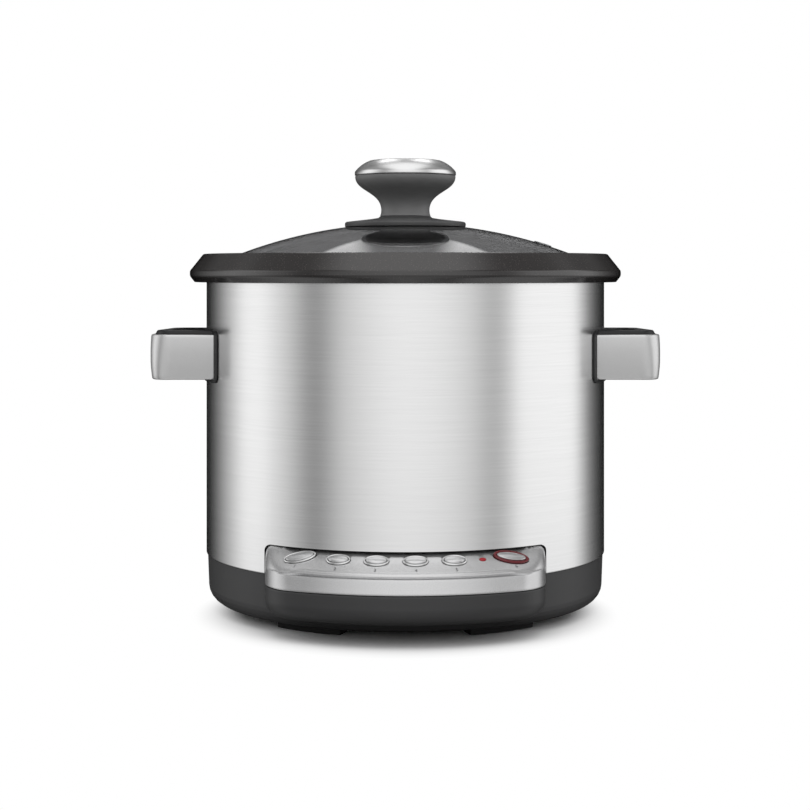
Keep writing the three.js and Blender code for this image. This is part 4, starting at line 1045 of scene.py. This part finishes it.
class MULTICOOKER_OT_lid(bpy.types.Operator):
    """Builds the domed glass, the band round its edge and the steam vent"""

    bl_idname = "multicooker.lid"
    bl_label = "Glass Lid"

    def execute(self, context):
        sizes = context.scene.cooker_body
        under = -sizes.glass_thickness / MM
        middle, steps = 5.0, 26  # the hole for the knob's screw, and steps to the edge
        radii = [middle + (GLASS_EDGE - middle) * i / steps for i in range(steps)]
        profile = [(r, dome_height(r)) for r in radii]
        for inset, offset, rise in (
            (1.0, 0.0, 0.0), (0.25, 0.0, -0.5), (0.0, 0.0, -1.3), (0.0, under, 1.0),
            (0.6, under, 0.2),
        ):
            profile.append((GLASS_EDGE - inset, dome_height(GLASS_EDGE, offset) + rise))
        profile += [(r, dome_height(r, under)) for r in reversed(radii)]
        glass = new_piece("glass_dome", *turned(profile))

        vent_low, vent_high = node_box("steam_vent")
        vent_x = (vent_low.x + vent_high.x) / 2
        tilt = Matrix.Rotation(math.asin(vent_x / (sizes.glass_sphere / MM)), 4, "Y")
        tilt.translation = (vent_x, 0, dome_height(vent_x))
        loops = [lifted(oval(4.4, 4.4, 40), z) for z in (-12.0, 8.0)]
        carved(glass, [new_piece("vent_hole", *stacked(placed(tilt, loops)))])
        dressed(glass, "lid", "glass", replaces=["lid_glass"])

        lip = GLASS_EDGE - 5.0
        edge = GLASS_EDGE + 0.3
        outside = GLASS_EDGE + 1.9
        drop = under - sizes.band_lip / MM
        rows = [
            (lip, 0.25, 0), (edge, 0.25, 0), (edge, under - 0.25, 0), (lip, under - 0.25, 0),
            (lip, drop, 0.4), (outside, drop, 0.8), (outside, 1.3, 0.9), (lip, 1.3, 0.5),
        ]
        corners = [(r, dome_height(r, offset), rounding) for r, offset, rounding in rows]
        band = lathed("glass_band", corners, steps=4)
        dressed(band, "lid", "black_plastic", replaces=["lid_band"])

        rows = [
            (1.5, -5.9), (6.2, -5.9), (6.5, -5.6), (6.5, -5.0), (6.2, -4.7), (4.0, -4.7),
            (4.0, 0.2), (6.2, 0.2), (6.45, 0.35), (6.3, 0.65), (5.6, 0.85), (2.2, 0.85),
            (1.5, 0.6),
        ]
        loops = [lifted(oval(r, r, 40), z) for r, z in rows]
        vent = new_piece("vent_eyelet", *stacked(placed(tilt, loops), ring=True))
        dressed(vent, "lid", "plain_steel", replaces=["steam_vent"])
        return {"FINISHED"}


class MULTICOOKER_OT_knob(bpy.types.Operator):
    """Builds the knob: washer, flange, waisted grip and polished cap"""

    bl_idname = "multicooker.knob"
    bl_label = "Knob"
    BORE = 2.8  # hole for the knob's screw

    def execute(self, context):
        high = node_box("knob_base")[1]
        flange, top = high.x, high.z
        rest = dome_height(flange, GAP)
        radii = [self.BORE + (flange - self.BORE) * i / 12 for i in range(12)]
        base = lathed("knob_flange", [(r, dome_height(r, GAP), 0) for r in radii] + [
            (flange - 0.3, rest, 0.3),
            (flange, rest + 3.4, 1.7),
            (flange - 4.0, rest + 3.9, 2.0),
            (24.5, top - 1.9, 6.0),
            (19.0, top - 1.0, 1.6),
            (18.1, top, 0.3),
            (self.BORE, top, 0),
        ], steps=6, rounds=KNOB_ROUND)
        # The flange wears the darker copy of the knob's plastic: painted shade.
        dressed(base, "lid", "dark_plastic", "flange_plastic", replaces=["knob_base"])
        self.add_grip_and_cap()

        low, high = node_box("knob_washer")
        under = -context.scene.cooker_body.glass_thickness / MM
        seat = min(high.z, dome_height(28.0, under - 0.15))
        washer = lathed("knob_seat", [
            (self.BORE, low.z + 3, 0),
            (6.0, low.z + 3, 0),
            (6.0, low.z, 0.4),
            (28.0, low.z, 1.6),
            (28.0, seat, 0.5),
            (self.BORE, seat, 0),
        ], steps=4, rounds=KNOB_ROUND)
        dressed(washer, "lid", "black_plastic", replaces=["knob_washer"])
        refinished("knob_screw", "plain_steel", 0.2)
        return {"FINISHED"}

    def add_grip_and_cap(self):
        low, high = node_box("knob_grip")
        foot, neck, brim = low.z, low.z + 4.0, high.z - 2.0
        rise = brim - neck
        waist = [(17.1, neck), (17.1, neck + rise * 0.55)]
        waist += [(35.6, brim - rise * 0.46), (35.6, brim - 0.4)]
        profile = [(0, foot + 12.3), (self.BORE, foot + 12.3), (self.BORE, foot)]
        profile += [(17.9, foot), (17.7, foot + 0.6), (17.3, foot + 1.9)]
        profile += bezier(waist, 28)
        profile += [(35.2, brim), (12.3, brim), (12.3, brim - 3.0), (0, brim - 3.0)]
        grip = new_piece("knob_waist", *turned(profile, KNOB_ROUND))
        # The grip wears the lighter copy of the knob's plastic: painted light.
        dressed(grip, "lid", "dark_plastic", "knob_plastic", replaces=["knob_grip"])

        seam = high.z - 1.7
        low = node_box("knob_cap")[0].z
        shoulder = [(35.8, seam + 2.5), (34.1, seam + 5.3)]
        shoulder += [(29.7, seam + 8.9), (25.0, seam + 10.5)]
        profile = [(0, low), (11.7, low), (12.0, low + 0.3), (12.0, seam - 0.3)]
        profile += [(35.5, seam), (35.75, seam + 0.15), (35.85, seam + 0.4)]
        profile += [(35.87, seam + 1.2)] + bezier(shoulder, 12)
        profile += [(23.6, seam + 10.75), (20.0, seam + 10.95)]
        profile += [(12.0, seam + 11.0), (0, seam + 11.0)]
        cap = new_piece("knob_crown", *turned(profile, KNOB_ROUND))
        dressed(cap, "lid", "polished_steel", "satin_steel", replaces=["knob_cap"], sharp=50)


class MULTICOOKER_OT_panel(bpy.types.Operator):
    """Builds the silver front panel: sloping face with a bead, groove and front band"""

    bl_idname = "multicooker.panel"
    bl_label = "Front Panel"
    FRONT_ENDS = 24.5  # degrees from the front, where band, groove and bead begin to fade
    CHANGE = 6.5  # degrees in which they fade into the plain side
    EDGE = 0.8  # rounding of the face's front edge

    def execute(self, context):
        columns = 192
        inner = SHELL_HIGH.x - 7.0
        reach = math.asin((PANEL_HALF - 2.4) / (inner + 0.6))
        turns = [reach * (2 * i / (columns - 1) - 1) for i in range(columns)]
        loops = [self.section(context.scene.cooker_panel, turn, inner) for turn in turns]
        panel = new_piece("front_panel", *stacked(loops))
        holes = [(name, turn, spin, long, tall) for name, turn, spin, long, tall, _ in BUTTONS]
        holes.append(("lamp", LAMP_TURN, 0.0, *LAMP_HALF))
        cutters = []
        for name, turn, spin, long, tall in holes:
            loops = [lifted(oval(long + GAP, tall + GAP), z) for z in (-9.0, 5.0)]
            cutters.append(on_face(f"{name}_hole", turn, spin, loops))
        carved(panel, cutters)
        dressed(panel, "cooker", "silver_plastic", replaces=["control_panel"], sharp=38)
        return {"FINISHED"}

    @staticmethod
    def capped(height):
        """Levels the face off where it passes under the shell."""
        soft = 0.5
        start = PANEL_HIGH.z - 0.1 - soft
        over = max(0.0, height - start)
        return height if over == 0 else start + soft * (1 - math.exp(-over / soft))

    def section(self, sizes, turn, inner):
        """The moulding's closed outline in the upright plane at an angle."""
        low = PANEL_LOW.z
        band = low + sizes.band_height / MM
        slot = sizes.slot / MM
        side = eased((abs(math.degrees(turn)) - self.FRONT_ENDS) / self.CHANGE)
        flush = 1 - side
        inset = sizes.face_inset / MM * flush
        deep = inset + sizes.groove / MM * flush
        wall = sizes.wall / MM
        tall = sizes.side_rounding / MM
        bead = sizes.bead / MM * flush
        rows = [
            (wall, low), (0.6, low), (0.15, low + 0.2), (0.0, low + 0.5), (0.0, low + 1.0),
            (0.04 * flush, low + 1.6), (0.12 * flush, low + 2.4), (0.28 * flush, low + 4.0),
            (0.5 * flush, band - 2.4), (0.62 * flush, band - 1.1), (0.7 * flush, band - 0.6),
            (0.95 * flush, band - 0.14), (1.4 * flush, band),
            (deep - 0.2 * flush, band + 0.02), (deep, band + 0.2),
            (deep, band + slot - 0.2), (deep - 0.2 * flush, band + slot - 0.02),
            (inset + 0.2 * flush, band + slot), (inset + 0.04 * flush, band + slot + 0.12),
        ]
        points = [(panel_radius(turn, i), z) for i, z in rows]

        def drop(distance, radius):
            """How far a rounded edge lies under the flat, at a distance from the edge."""
            gone = max(0.0, radius - distance)
            return math.sqrt(max(0.0, radius**2 - gone**2)) - radius

        def crest(depth):
            """The bead along the face's edge, and the fine groove behind it."""
            if depth < 2.4:
                return bead * max(0.0, 1 - ((depth - 0.9) / 1.5) ** 2)
            return -0.5 * flush if depth < 3.1 else 0.0

        depths = [0, 0.1, 0.3, 0.6, 0.9, 1.3, 1.7, 2.1, 2.37, 2.43, 3.07, 3.13, 3.6]
        depths += [4.4, 5.6, 7, 9, 12]
        for k, depth in enumerate(depths):
            # The last points stay apart where the outline would run under the shell
            least = inner + 0.05 * (len(depths) - k)
            radius = max(panel_radius(turn, inset + depth), least)
            edge = drop(depth, self.EDGE) * flush + drop(depth, tall) * side
            height = self.capped(slope_height(radius) + crest(depth)) + edge
            points.append((radius, max(height, band + slot + 0.14 + 0.01 * k)))
        under = 2.75
        wall_in = max(panel_radius(turn, wall), inner + 0.02)
        for radius, fall in ((inner, 0.0), (inner, under), (wall_in, under)):
            points.append((radius, self.capped(slope_height(radius)) - fall))
        return [(*at_turn(r, turn), z) for r, z in points]


class MULTICOOKER_OT_buttons(bpy.types.Operator):
    """Builds the buttons, their rings, the lamp and plain numbers under them"""

    bl_idname = "multicooker.buttons"
    bl_label = "Buttons"

    def execute(self, context):
        for name, turn, spin, long, tall, width in BUTTONS:
            self.add_ring(name, turn, spin, long, tall, width)
            self.add_cap(name, turn, spin, long - width - 0.5, tall - width - 0.5)
        self.add_lamp()
        share = context.scene.cooker_panel.number_share
        for index, (name, turn, *_) in enumerate(BUTTONS, 1):
            self.add_number(name, str(index), slope_frame(turn, 0.0, share))
        refinished("circuit_strip", "circuit")
        return {"FINISHED"}

    @staticmethod
    def add_ring(name, turn, spin, long, tall, width):
        rows = [
            (0.5, -2.2), (0.5, 0.3), (0.0, 0.3), (0.0, 0.55), (width * 0.12, 0.85),
            (width * 0.38, 1.08), (width * 0.65, 1.08), (width * 0.88, 0.9), (width, 0.6),
            (width, -2.2),
        ]
        loops = [lifted(oval(long - inset, tall - inset), z) for inset, z in rows]
        ring = on_face(f"{name}_ring", turn, spin, loops, ring=True)
        node, slot = f"{name}_bezel", "polished_steel"
        if name == "start":
            node, slot = "start_ring", "red_plastic"
        dressed(ring, "cooker", slot, replaces=[node], sharp=60)

    @staticmethod
    def add_cap(name, turn, spin, long, tall):
        """A cap with a crowned top, on the stem that reaches the switch."""
        loops = [lifted(oval(1.6, 1.6), z) for z in (-9.2, -3.7)]
        rows = [(1.1, -3.7), (1.1, -2.5), (0.0, -2.5), (0.0, 1.0), (-0.12, 1.3), (-0.4, 1.55)]
        loops += [lifted(oval(long + grow, tall + grow), z) for grow, z in rows]
        for share in (0.82, 0.62, 0.4, 0.2, 0.06):
            crown = 1.55 + 0.35 * (1 - share**2)
            loops.append(lifted(oval((long - 0.4) * share, (tall - 0.4) * share), crown))
        cap = on_face(f"{name}_key", turn, spin, loops)
        button = [f"{name}_button"]
        dressed(cap, f"{name}_key", "silver_plastic", "button_silver", replaces=button)

    @staticmethod
    def add_lamp():
        long, tall = LAMP_HALF
        rows = [(0.0, -10.7), (0.0, 0.15), (-0.2, 0.4), (-0.6, 0.55), (-1.1, 0.62)]
        loops = [lifted(oval(long + grow, tall + grow, 32), z) for grow, z in rows]
        lamp = on_face("lamp_lens", LAMP_TURN, 0.0, loops)
        dressed(lamp, "cooker", "red_lamp", replaces=["warm_lamp"])

    @staticmethod
    def add_number(name, text, matrix):
        """A plain number under a button."""
        words = bpy.data.curves.new(f"{name}_number", "FONT")
        words.body = text
        words.size = 3.6 * MM
        words.align_x = words.align_y = "CENTER"
        words.extrude = 0.03 * MM
        piece = linked(f"{name}_number", words)
        lift = matrix @ Vector((0, 0, 0.05))
        matrix.translation = (lift.x * MM, (lift.y + AXIS_Y) * MM, lift.z * MM)
        bpy.context.view_layer.update()
        graph = bpy.context.evaluated_depsgraph_get()
        mesh = bpy.data.meshes.new_from_object(piece.evaluated_get(graph))
        mesh.transform(matrix)
        bpy.data.objects.remove(piece)
        dressed(linked(f"{name}_mark", mesh), "cooker", "black_plastic", "marking")


class MULTICOOKER_OT_handles(bpy.types.Operator):
    """Builds both side handles: collar, dark core with a finger gap, silver strap"""

    bl_idname = "multicooker.handles"
    bl_label = "Side Handles"
    STANDOFF = 0.8  # from the steel to the handle's ends
    BLEND = 1.15  # length of the outer end's change of form, in corner roundings
    CROWN_BELOW = 1.9  # crown of the lower edge against the upper one's
    LEAN = (0.06, 0.0026)  # sides' lean per millimetre down, and how it grows

    def execute(self, context):
        for side, sign in (("right", 1), ("left", -1)):
            self.build(context.scene.cooker_handle, side, sign)
            for index in (1, 2):
                refinished(f"handle_screw_{side}_{index}", "plain_steel")
        return {"FINISHED"}

    def build(self, sizes, side, sign):
        low, high = node_box(f"handle_strap_{side}")
        reach = max(abs(low.x), abs(high.x)) - 0.5
        half_depth = (high.y - low.y) / 2
        middle = (low.z + high.z) / 2
        half = (high.z - low.z) / 2
        corner = sizes.corner / MM
        thick = sizes.strap / MM
        edge = sizes.edge / MM

        def shaped(x, y, z):
            """Gives the outer end its crown and soft edges, and turns the left one."""
            share = eased((x - (reach - corner * self.BLEND)) / (corner * self.BLEND))
            up = abs(z)
            drop = sizes.crown / MM * (up / half) ** 2 * (1.0 if z > 0 else self.CROWN_BELOW)
            gone = max(0.0, up - (half - edge))
            drop += edge - math.sqrt(max(0.0, edge**2 - min(gone, edge) ** 2))
            x -= drop * share
            down = min(2 * half, max(0.0, half - z))
            lean = (self.LEAN[1] * down + self.LEAN[0]) * down * (1 - share)
            y -= math.copysign(lean, y) * min(1.0, abs(y) / 10)
            return (x * sign, y * sign, middle + z)

        def ends(y):
            """Where the handle meets the shell, at a distance from its middle."""
            return math.sqrt((SHELL_HIGH.x + self.STANDOFF) ** 2 - y**2)

        def path(inset):
            """The handle's plan, moved in, from the shell round to the shell."""
            y = half_depth - inset
            x = reach - inset
            rounding = corner - inset
            corners = [(ends(y), -y, 0), (x, -y, rounding), (x, y, rounding), (ends(y), y, 0)]
            outline = filleted(corners, closed=False, steps=14)
            rows = []
            for (x0, y0), (x1, y1) in zip(outline, outline[1:]):
                count = 1 if math.hypot(x1 - x0, y1 - y0) < 6 else 8
                for i in range(count):
                    rows.append((x0 + (x1 - x0) * i / count, y0 + (y1 - y0) * i / count))
            return rows + [outline[-1]]

        # The strap: a rounded section carried along the path
        top = half - 0.6
        outer_rows = [
            (1.1, -half), (0.6, -half + 0.08), (0.25, -half + 0.33), (0.06, -half + 0.75),
            (0.0, -half + 1.2), (0.0, -half + 2.8), (0.0, -half + 4.2), (0.0, -half + 8.0),
            (0.0, -half * 0.25), (0.0, half * 0.25), (0.0, half - 8.0), (0.0, half - 4.2),
            (0.0, half - 2.8), (0.0, top - 1.2), (0.06, top - 0.75), (0.25, top - 0.33),
            (0.6, top - 0.08), (1.1, top),
        ]
        section = outer_rows + [(thick, z) for _, z in reversed(outer_rows)]
        paths = {inset: path(inset) for inset, _ in section}
        loops = [
            [shaped(*paths[inset][k], z) for inset, z in section] for k in range(len(paths[0.0]))
        ]
        strap = new_piece(f"strap_{side}", *stacked(loops))
        dressed(strap, "cooker", "handle_silver", replaces=[f"handle_strap_{side}"], sharp=50)

        # The core: one outline with the finger gap, in rows with soft edges
        grip = sizes.grip / MM
        gap_x, gap_y = reach - grip, half_depth - grip
        start = ends(gap_y)
        corners = [(start, gap_y, 0), (gap_x, gap_y, 8.0), (gap_x, -gap_y, 8.0)]
        corners.append((start, -gap_y, 0))
        outline = path(thick + GAP) + filleted(corners, closed=False, steps=10)
        rows = [(1.6, -half), (0.8, -half + 0.25), (0.25, -half + 0.8), (0.0, -half + 1.6)]
        rows += [(0.0, z) for z in (-half + 3.5, -half * 0.4, 0.0, half * 0.4, half - 3.5)]
        rows += [(0.0, half - 1.4), (0.1, half - 0.6)]
        swell = sizes.dome / MM + 0.6
        for degrees in (18, 36, 54, 70, 82):
            swing = math.radians(degrees)
            rows.append((1.8 * (1 - math.cos(swing)), half + swell * math.sin(swing) - 0.6))
        loops = []
        for inset, z in rows:
            above = max(0.0, z - (half - 0.6))
            loop = []
            for x, y in inset_loop(outline, inset):
                near = 0.5 - 0.5 * y * sign / half_depth
                loop.append(shaped(x, y, z + above * near * 1.2))
            loops.append(loop)
        core = new_piece(f"core_{side}", *stacked(loops))
        dressed(core, "cooker", "black_plastic", replaces=[f"handle_core_{side}"], sharp=45)

        # The collar: a rounded window of a thin tube, with a hole for the handle
        proud = SHELL_HIGH.x + sizes.collar_proud / MM
        collar = tube(f"collar_{side}", SHELL_HIGH.x + GAP, proud, 140, 210)
        box_low, box_high = node_box(f"handle_collar_{side}")
        across = (box_high.y - box_low.y) / 2
        rounding = sizes.collar_rounding / MM
        outline = rounded_box(-across, across, box_low.z, box_high.z, rounding, 8)
        widths = (60.0 * sign, 200.0 * sign)
        carved(collar, [side_block("collar_window", outline, widths)], "INTERSECT")
        depth = half_depth + 0.2
        outline = rounded_box(-depth, depth, low.z - 0.2, high.z + 0.2, 1.5, 4)
        carved(collar, [side_block("collar_hole", outline, widths)])
        softened(collar, 0.5, 3)
        dressed(collar, "cooker", "black_plastic", replaces=[f"handle_collar_{side}"], sharp=40)


class MULTICOOKER_OT_inside(bpy.types.Operator):
    """Builds the top ring, liner, heating plate and sensor, and finishes what is hidden"""

    bl_idname = "multicooker.inside"
    bl_label = "Inside"

    def execute(self, _context):
        low, high = node_box("top_ring")
        inner, step = 122.9, high.z - 1.4
        ring = lathed("seat_ring", [
            (inner, low.z, 0.5),
            (inner + 2.0, low.z, 0.5),
            (inner + 2.0, step, 0.6),
            (high.x, step, 0.4),
            (high.x, high.z, 0.5),
            (inner, high.z, 0.7),
        ], steps=4)
        dressed(ring, "cooker", "black_plastic", replaces=["top_ring"])

        low, high = node_box("inner_liner")
        liner = lathed("liner_can", [
            (10.0, low.z, 0),
            (126.0, low.z, 6.0),
            (126.0, high.z - 0.8, 0.6),
            (137.0, high.z - 0.8, 0.2),
            (137.0, high.z, 0.2),
            (125.2, high.z, 1.0),
            (125.2, low.z + 0.8, 5.2),
            (10.0, low.z + 0.8, 0),
        ], steps=5)
        holes = []
        for x in (-18.1, 18.1):
            loops = [[(x + a, 67.6 + b, z) for a, b in oval(6, 6, 32)] for z in (60.0, 90.0)]
            holes.append(new_piece("terminal_hole", *stacked(loops)))
        carved(liner, holes)
        dressed(liner, "cooker", "aluminium", replaces=["inner_liner"])

        low, high = node_box("heating_plate")
        plate = lathed("hot_plate", [
            (16.5, low.z, 0.4),
            (65.7, low.z, 0.4),
            (65.7, low.z + 8.3, 1.0),
            (74.3, low.z + 8.3, 1.0),
            (74.3, low.z, 0.4),
            (98.0, low.z, 1.0),
            (98.0, high.z, 1.6),
            (16.5, high.z, 0.8),
        ], steps=4)
        dressed(plate, "cooker", "aluminium", replaces=["heating_plate"])

        low, high = node_box("sensor_cap")
        cap = lathed("sensor_button", [
            (0, high.z - 2.0, 0),
            (10.5, high.z - 2.0, 0.8),
            (10.5, low.z, 0.3),
            (12.0, low.z, 0.3),
            (12.0, high.z, 1.4),
            (0, high.z, 0),
        ], steps=5, closed=False, rounds=72)
        dressed(cap, "sensor", "aluminium", replaces=["sensor_cap"])
        self.add_coil()

        finishes = {
            "plain_steel": ["heating_element"] + [f"plate_standoff_{i}" for i in (1, 2, 3)],
            "ivory": ["thermal_fuse", "sensor_guide"],
            "black_plastic": ["panel_lead"],
            "lead_red": ["heater_lead_1", "heater_lead_2"],
        }
        for finish, nodes in finishes.items():
            for node in nodes:
                refinished(node, finish)
        refinished("inlet_socket", "black_plastic", 0.35)
        refinished("power_board", "circuit", 0.3)
        return {"FINISHED"}

    @staticmethod
    def add_coil():
        """The sensor's spring, as a fixed coil of wire; the real spring shortens as the sensor is
        pressed.
        """
        low, high = node_box("sensor_spring")
        wire, rounds, steps = 0.8, 5, 28
        radius = (high.x - low.x) / 2 - wire
        height = high.z - low.z
        loops = []
        for i in range(rounds * steps + 1):
            turn = math.tau * i / steps
            middle = low.z + wire + (height - 2 * wire) * i / (rounds * steps)
            loop = []
            for k in range(10):
                swing = math.tau * k / 10
                out = radius + wire * math.cos(swing)
                rise = middle + wire * math.sin(swing)
                loop.append((out * math.cos(turn), out * math.sin(turn), rise))
            loops.append(loop)
        coil = new_piece("sensor_coil", *stacked(loops))
        dressed(coil, "cooker", "plain_steel", replaces=["sensor_spring"], sharp=60)
        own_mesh(coil)


class MULTICOOKER_OT_stage(bpy.types.Operator):
    """Sets the camera, the pale floor, the soft lights and the surroundings"""

    bl_idname = "multicooker.stage"
    bl_label = "Stage"

    # Level of the soft boxes and dark cards, by compass degrees from the front
    AROUND = [
        (-156, 0.0), (-148, 0.03), (-139, 0.10), (-130, 0.25), (-121, 0.45),
        (-112, 0.69), (-103, 0.98), (-95, 1.12), (-86, 0.96), (-77, 0.80),
        (-68, 0.64), (-60, 0.42), (-52, 0.22), (-44, 0.39), (-35, 0.66),
        (-22, 0.80), (-8, 0.94), (8, 0.94), (24, 0.86), (38, 0.70), (48, 0.43),
        (56, 0.48), (65, 0.90), (74, 1.26), (84, 1.52), (96, 1.30), (108, 1.12),
        (118, 0.62), (128, 0.20), (140, 0.06), (154, 0.0),
    ]
    # Their level by height, from straight down at 0 to straight up at 1
    UPRIGHT = [
        (0.0, 0.62), (0.25, 0.64), (0.31, 0.62), (0.345, 0.44), (0.38, 0.36),
        (0.411, 0.55), (0.433, 0.8), (0.45, 0.98), (0.46, 1.0), (1.0, 1.0),
    ]
    LAMPS = [
        ("overhead", (0.0, -0.25, 1.5), 1.1, "key_power"),
        ("left", (-1.3, -0.9, 0.9), 0.8, "side_power"),
        ("right", (1.3, -0.9, 0.9), 0.8, "side_power"),
    ]
    AIM = Vector((0, 0, 0.12))
    FLOOR_RINGS = [0.0, 300.0, 700.0, 1500.0, 4000.0, 12000.0]

    def execute(self, context):
        studio = context.scene.cooker_studio
        self.add_camera(context.scene, studio)
        self.add_world(context.scene, studio)
        self.add_floor()
        for name, place, size, power in self.LAMPS:
            light = bpy.data.lights.new(name, "AREA")
            light.shape = "SQUARE"
            light.size = size
            light.energy = getattr(studio, power)
            lamp = linked(name, light)
            lamp.location = place
            aim = self.AIM - Vector(place)
            lamp.rotation_euler = aim.to_track_quat("-Z", "Y").to_euler()
            lamp.visible_glossy = False
        context.scene.view_settings.view_transform = "Standard"
        return {"FINISHED"}

    @staticmethod
    def add_camera(scene, studio):
        lens = bpy.data.cameras.new("camera")
        lens.lens = studio.lens
        lens.sensor_width = 36
        lens.shift_y = studio.shift
        lens.shift_x = studio.shift_across
        lens.clip_start = 0.01
        camera = linked("camera", lens)
        camera.location = (0, AXIS_Y * MM - studio.camera_distance, studio.camera_height)
        camera.rotation_euler = (math.pi / 2, 0, 0)
        scene.camera = camera

    def add_world(self, scene, studio):
        """White to the camera and through glass. Metal sees soft boxes all round with
        dark cards between them, a bright sky, and a dark wall behind with a bright wedge."""
        world = bpy.data.worlds.new("studio")
        world.use_nodes = True
        scene.world = world
        graph = Graph(world.node_tree)
        direction = graph.node("ShaderNodeTexCoord", output="Generated")
        split = graph.node("ShaderNodeSeparateXYZ", None, {0: direction})
        x, y, z = (Value(graph, split.socket.node.outputs[k]) for k in range(3))
        compass = x.math("ARCTAN2", x, y * -1.0) / math.tau + 0.5
        height = z.math("ARCSINE", z) / math.pi + 0.5
        stops = [((degrees + 180) / 360, level) for degrees, level in self.AROUND]
        bands = graph.node("ShaderNodeValToRGB", {"stops": stops}, {0: compass})
        rows = graph.node("ShaderNodeValToRGB", {"stops": self.UPRIGHT}, {0: height})
        aside = x.math("ABSOLUTE", x)
        behind = y.smooth(0.3, 0.8) * z.smooth(0.12, 0.25)
        walls = bands * (1 - behind) + behind * (0.04 + z.smooth(0.28, 0.5) * 0.16)
        wedge = ((z - 0.41) * 0.9 - aside).smooth(-0.012, 0.02) * y.smooth(0.5, 0.65)
        lit = 0.35 + aside.smooth(0.05, 0.1) * 1.75
        sky = 1 - aside.smooth(0.28, 0.52) * 0.75
        overhead = z.smooth(0.57, 0.63) * (1 - y.smooth(0.3, 0.5))
        level = (walls * (1 - overhead) + overhead * sky) * (1 - wedge) + wedge * lit
        seen, glossy = graph.rays()
        dim = 0.7 + z.smooth(-0.1, 0.5) * 0.3
        plain = seen + (1 - seen) * dim * studio.ambient
        strength = glossy * (level * rows) + (1 - glossy) * plain
        background = {"Color": grey(1.0), "Strength": strength}
        shader = graph.node("ShaderNodeBackground", None, background)
        graph.node("ShaderNodeOutputWorld", None, {"Surface": shader})

    def add_floor(self):
        """Keeps the object's shadow near it, and turns plain white further out. Metal
        sees the floor near the object only, and past it the lower surroundings."""
        rings = [(radius, 0.0) for radius in self.FLOOR_RINGS]
        floor = new_piece("floor", *turned(rings, 96))
        floor.location.z = -0.02 * MM
        finish = Finish("pale_floor")
        seen, glossy = finish.rays()
        pale = finish.mixed(finish.noise(30.0), grey(0.90), grey(0.92))
        matt = {
            "Base Color": finish.mixed(seen, grey(0.25), pale),
            "Roughness": 1.0,
            "Specular IOR Level": 0.0,
        }
        plain = finish.node("ShaderNodeBsdfPrincipled", None, matt)
        glow = {"Color": grey(1.0), "Strength": 1.0}
        white = finish.node("ShaderNodeEmission", None, glow)
        far = finish.distance((0, -0.03, 0), (1.03, 1, 1)).smooth(0.112, 0.152)
        surface = finish.node("ShaderNodeMixShader", None, {0: far * seen, 1: plain, 2: white})
        clear = finish.node("ShaderNodeBsdfTransparent", None, {"Color": grey(1.0)})
        shader = finish.node("ShaderNodeMixShader", None, {0: glossy * far, 1: surface, 2: clear})
        finish.node("ShaderNodeOutputMaterial", None, {"Surface": shader})
        floor.data.materials.append(finish.material)


class MULTICOOKER_PT_main(bpy.types.Panel):
    """Lists the steps that build the multicooker"""

    bl_label = "Multicooker"
    bl_idname = "MULTICOOKER_PT_main"
    bl_space_type = "VIEW_3D"
    bl_region_type = "UI"
    bl_category = "Multicooker"

    def draw(self, context):
        for operator in OPERATORS:
            self.layout.operator(operator.bl_idname)
        for name in SETTINGS:
            box = self.layout.box()
            group = getattr(context.scene, name)
            for key in group.__annotations__:
                box.prop(group, key)


OPERATORS = [
    MULTICOOKER_OT_stage,
    MULTICOOKER_OT_shell,
    MULTICOOKER_OT_base,
    MULTICOOKER_OT_feet,
    MULTICOOKER_OT_bowl,
    MULTICOOKER_OT_lid,
    MULTICOOKER_OT_knob,
    MULTICOOKER_OT_panel,
    MULTICOOKER_OT_buttons,
    MULTICOOKER_OT_handles,
    MULTICOOKER_OT_inside,
]
SETTINGS = {
    "cooker_colours": CookerColours,
    "cooker_body": CookerBody,
    "cooker_panel": CookerPanel,
    "cooker_handle": CookerHandle,
    "cooker_studio": CookerStudio,
}


def register():
    for group in SETTINGS.values():
        bpy.utils.register_class(group)
    for name, group in SETTINGS.items():
        setattr(bpy.types.Scene, name, bpy.props.PointerProperty(type=group))
    for operator in OPERATORS:
        bpy.utils.register_class(operator)
    bpy.utils.register_class(MULTICOOKER_PT_main)


def unregister():
    bpy.utils.unregister_class(MULTICOOKER_PT_main)
    for operator in reversed(OPERATORS):
        bpy.utils.unregister_class(operator)
    for name in SETTINGS:
        delattr(bpy.types.Scene, name)
    for group in reversed(SETTINGS.values()):
        bpy.utils.unregister_class(group)


def main():
    register()
    for operator in OPERATORS:
        step = operator.bl_idname.split(".")[1]
        getattr(bpy.ops.multicooker, step)()


if __name__ == "__main__":
    main()
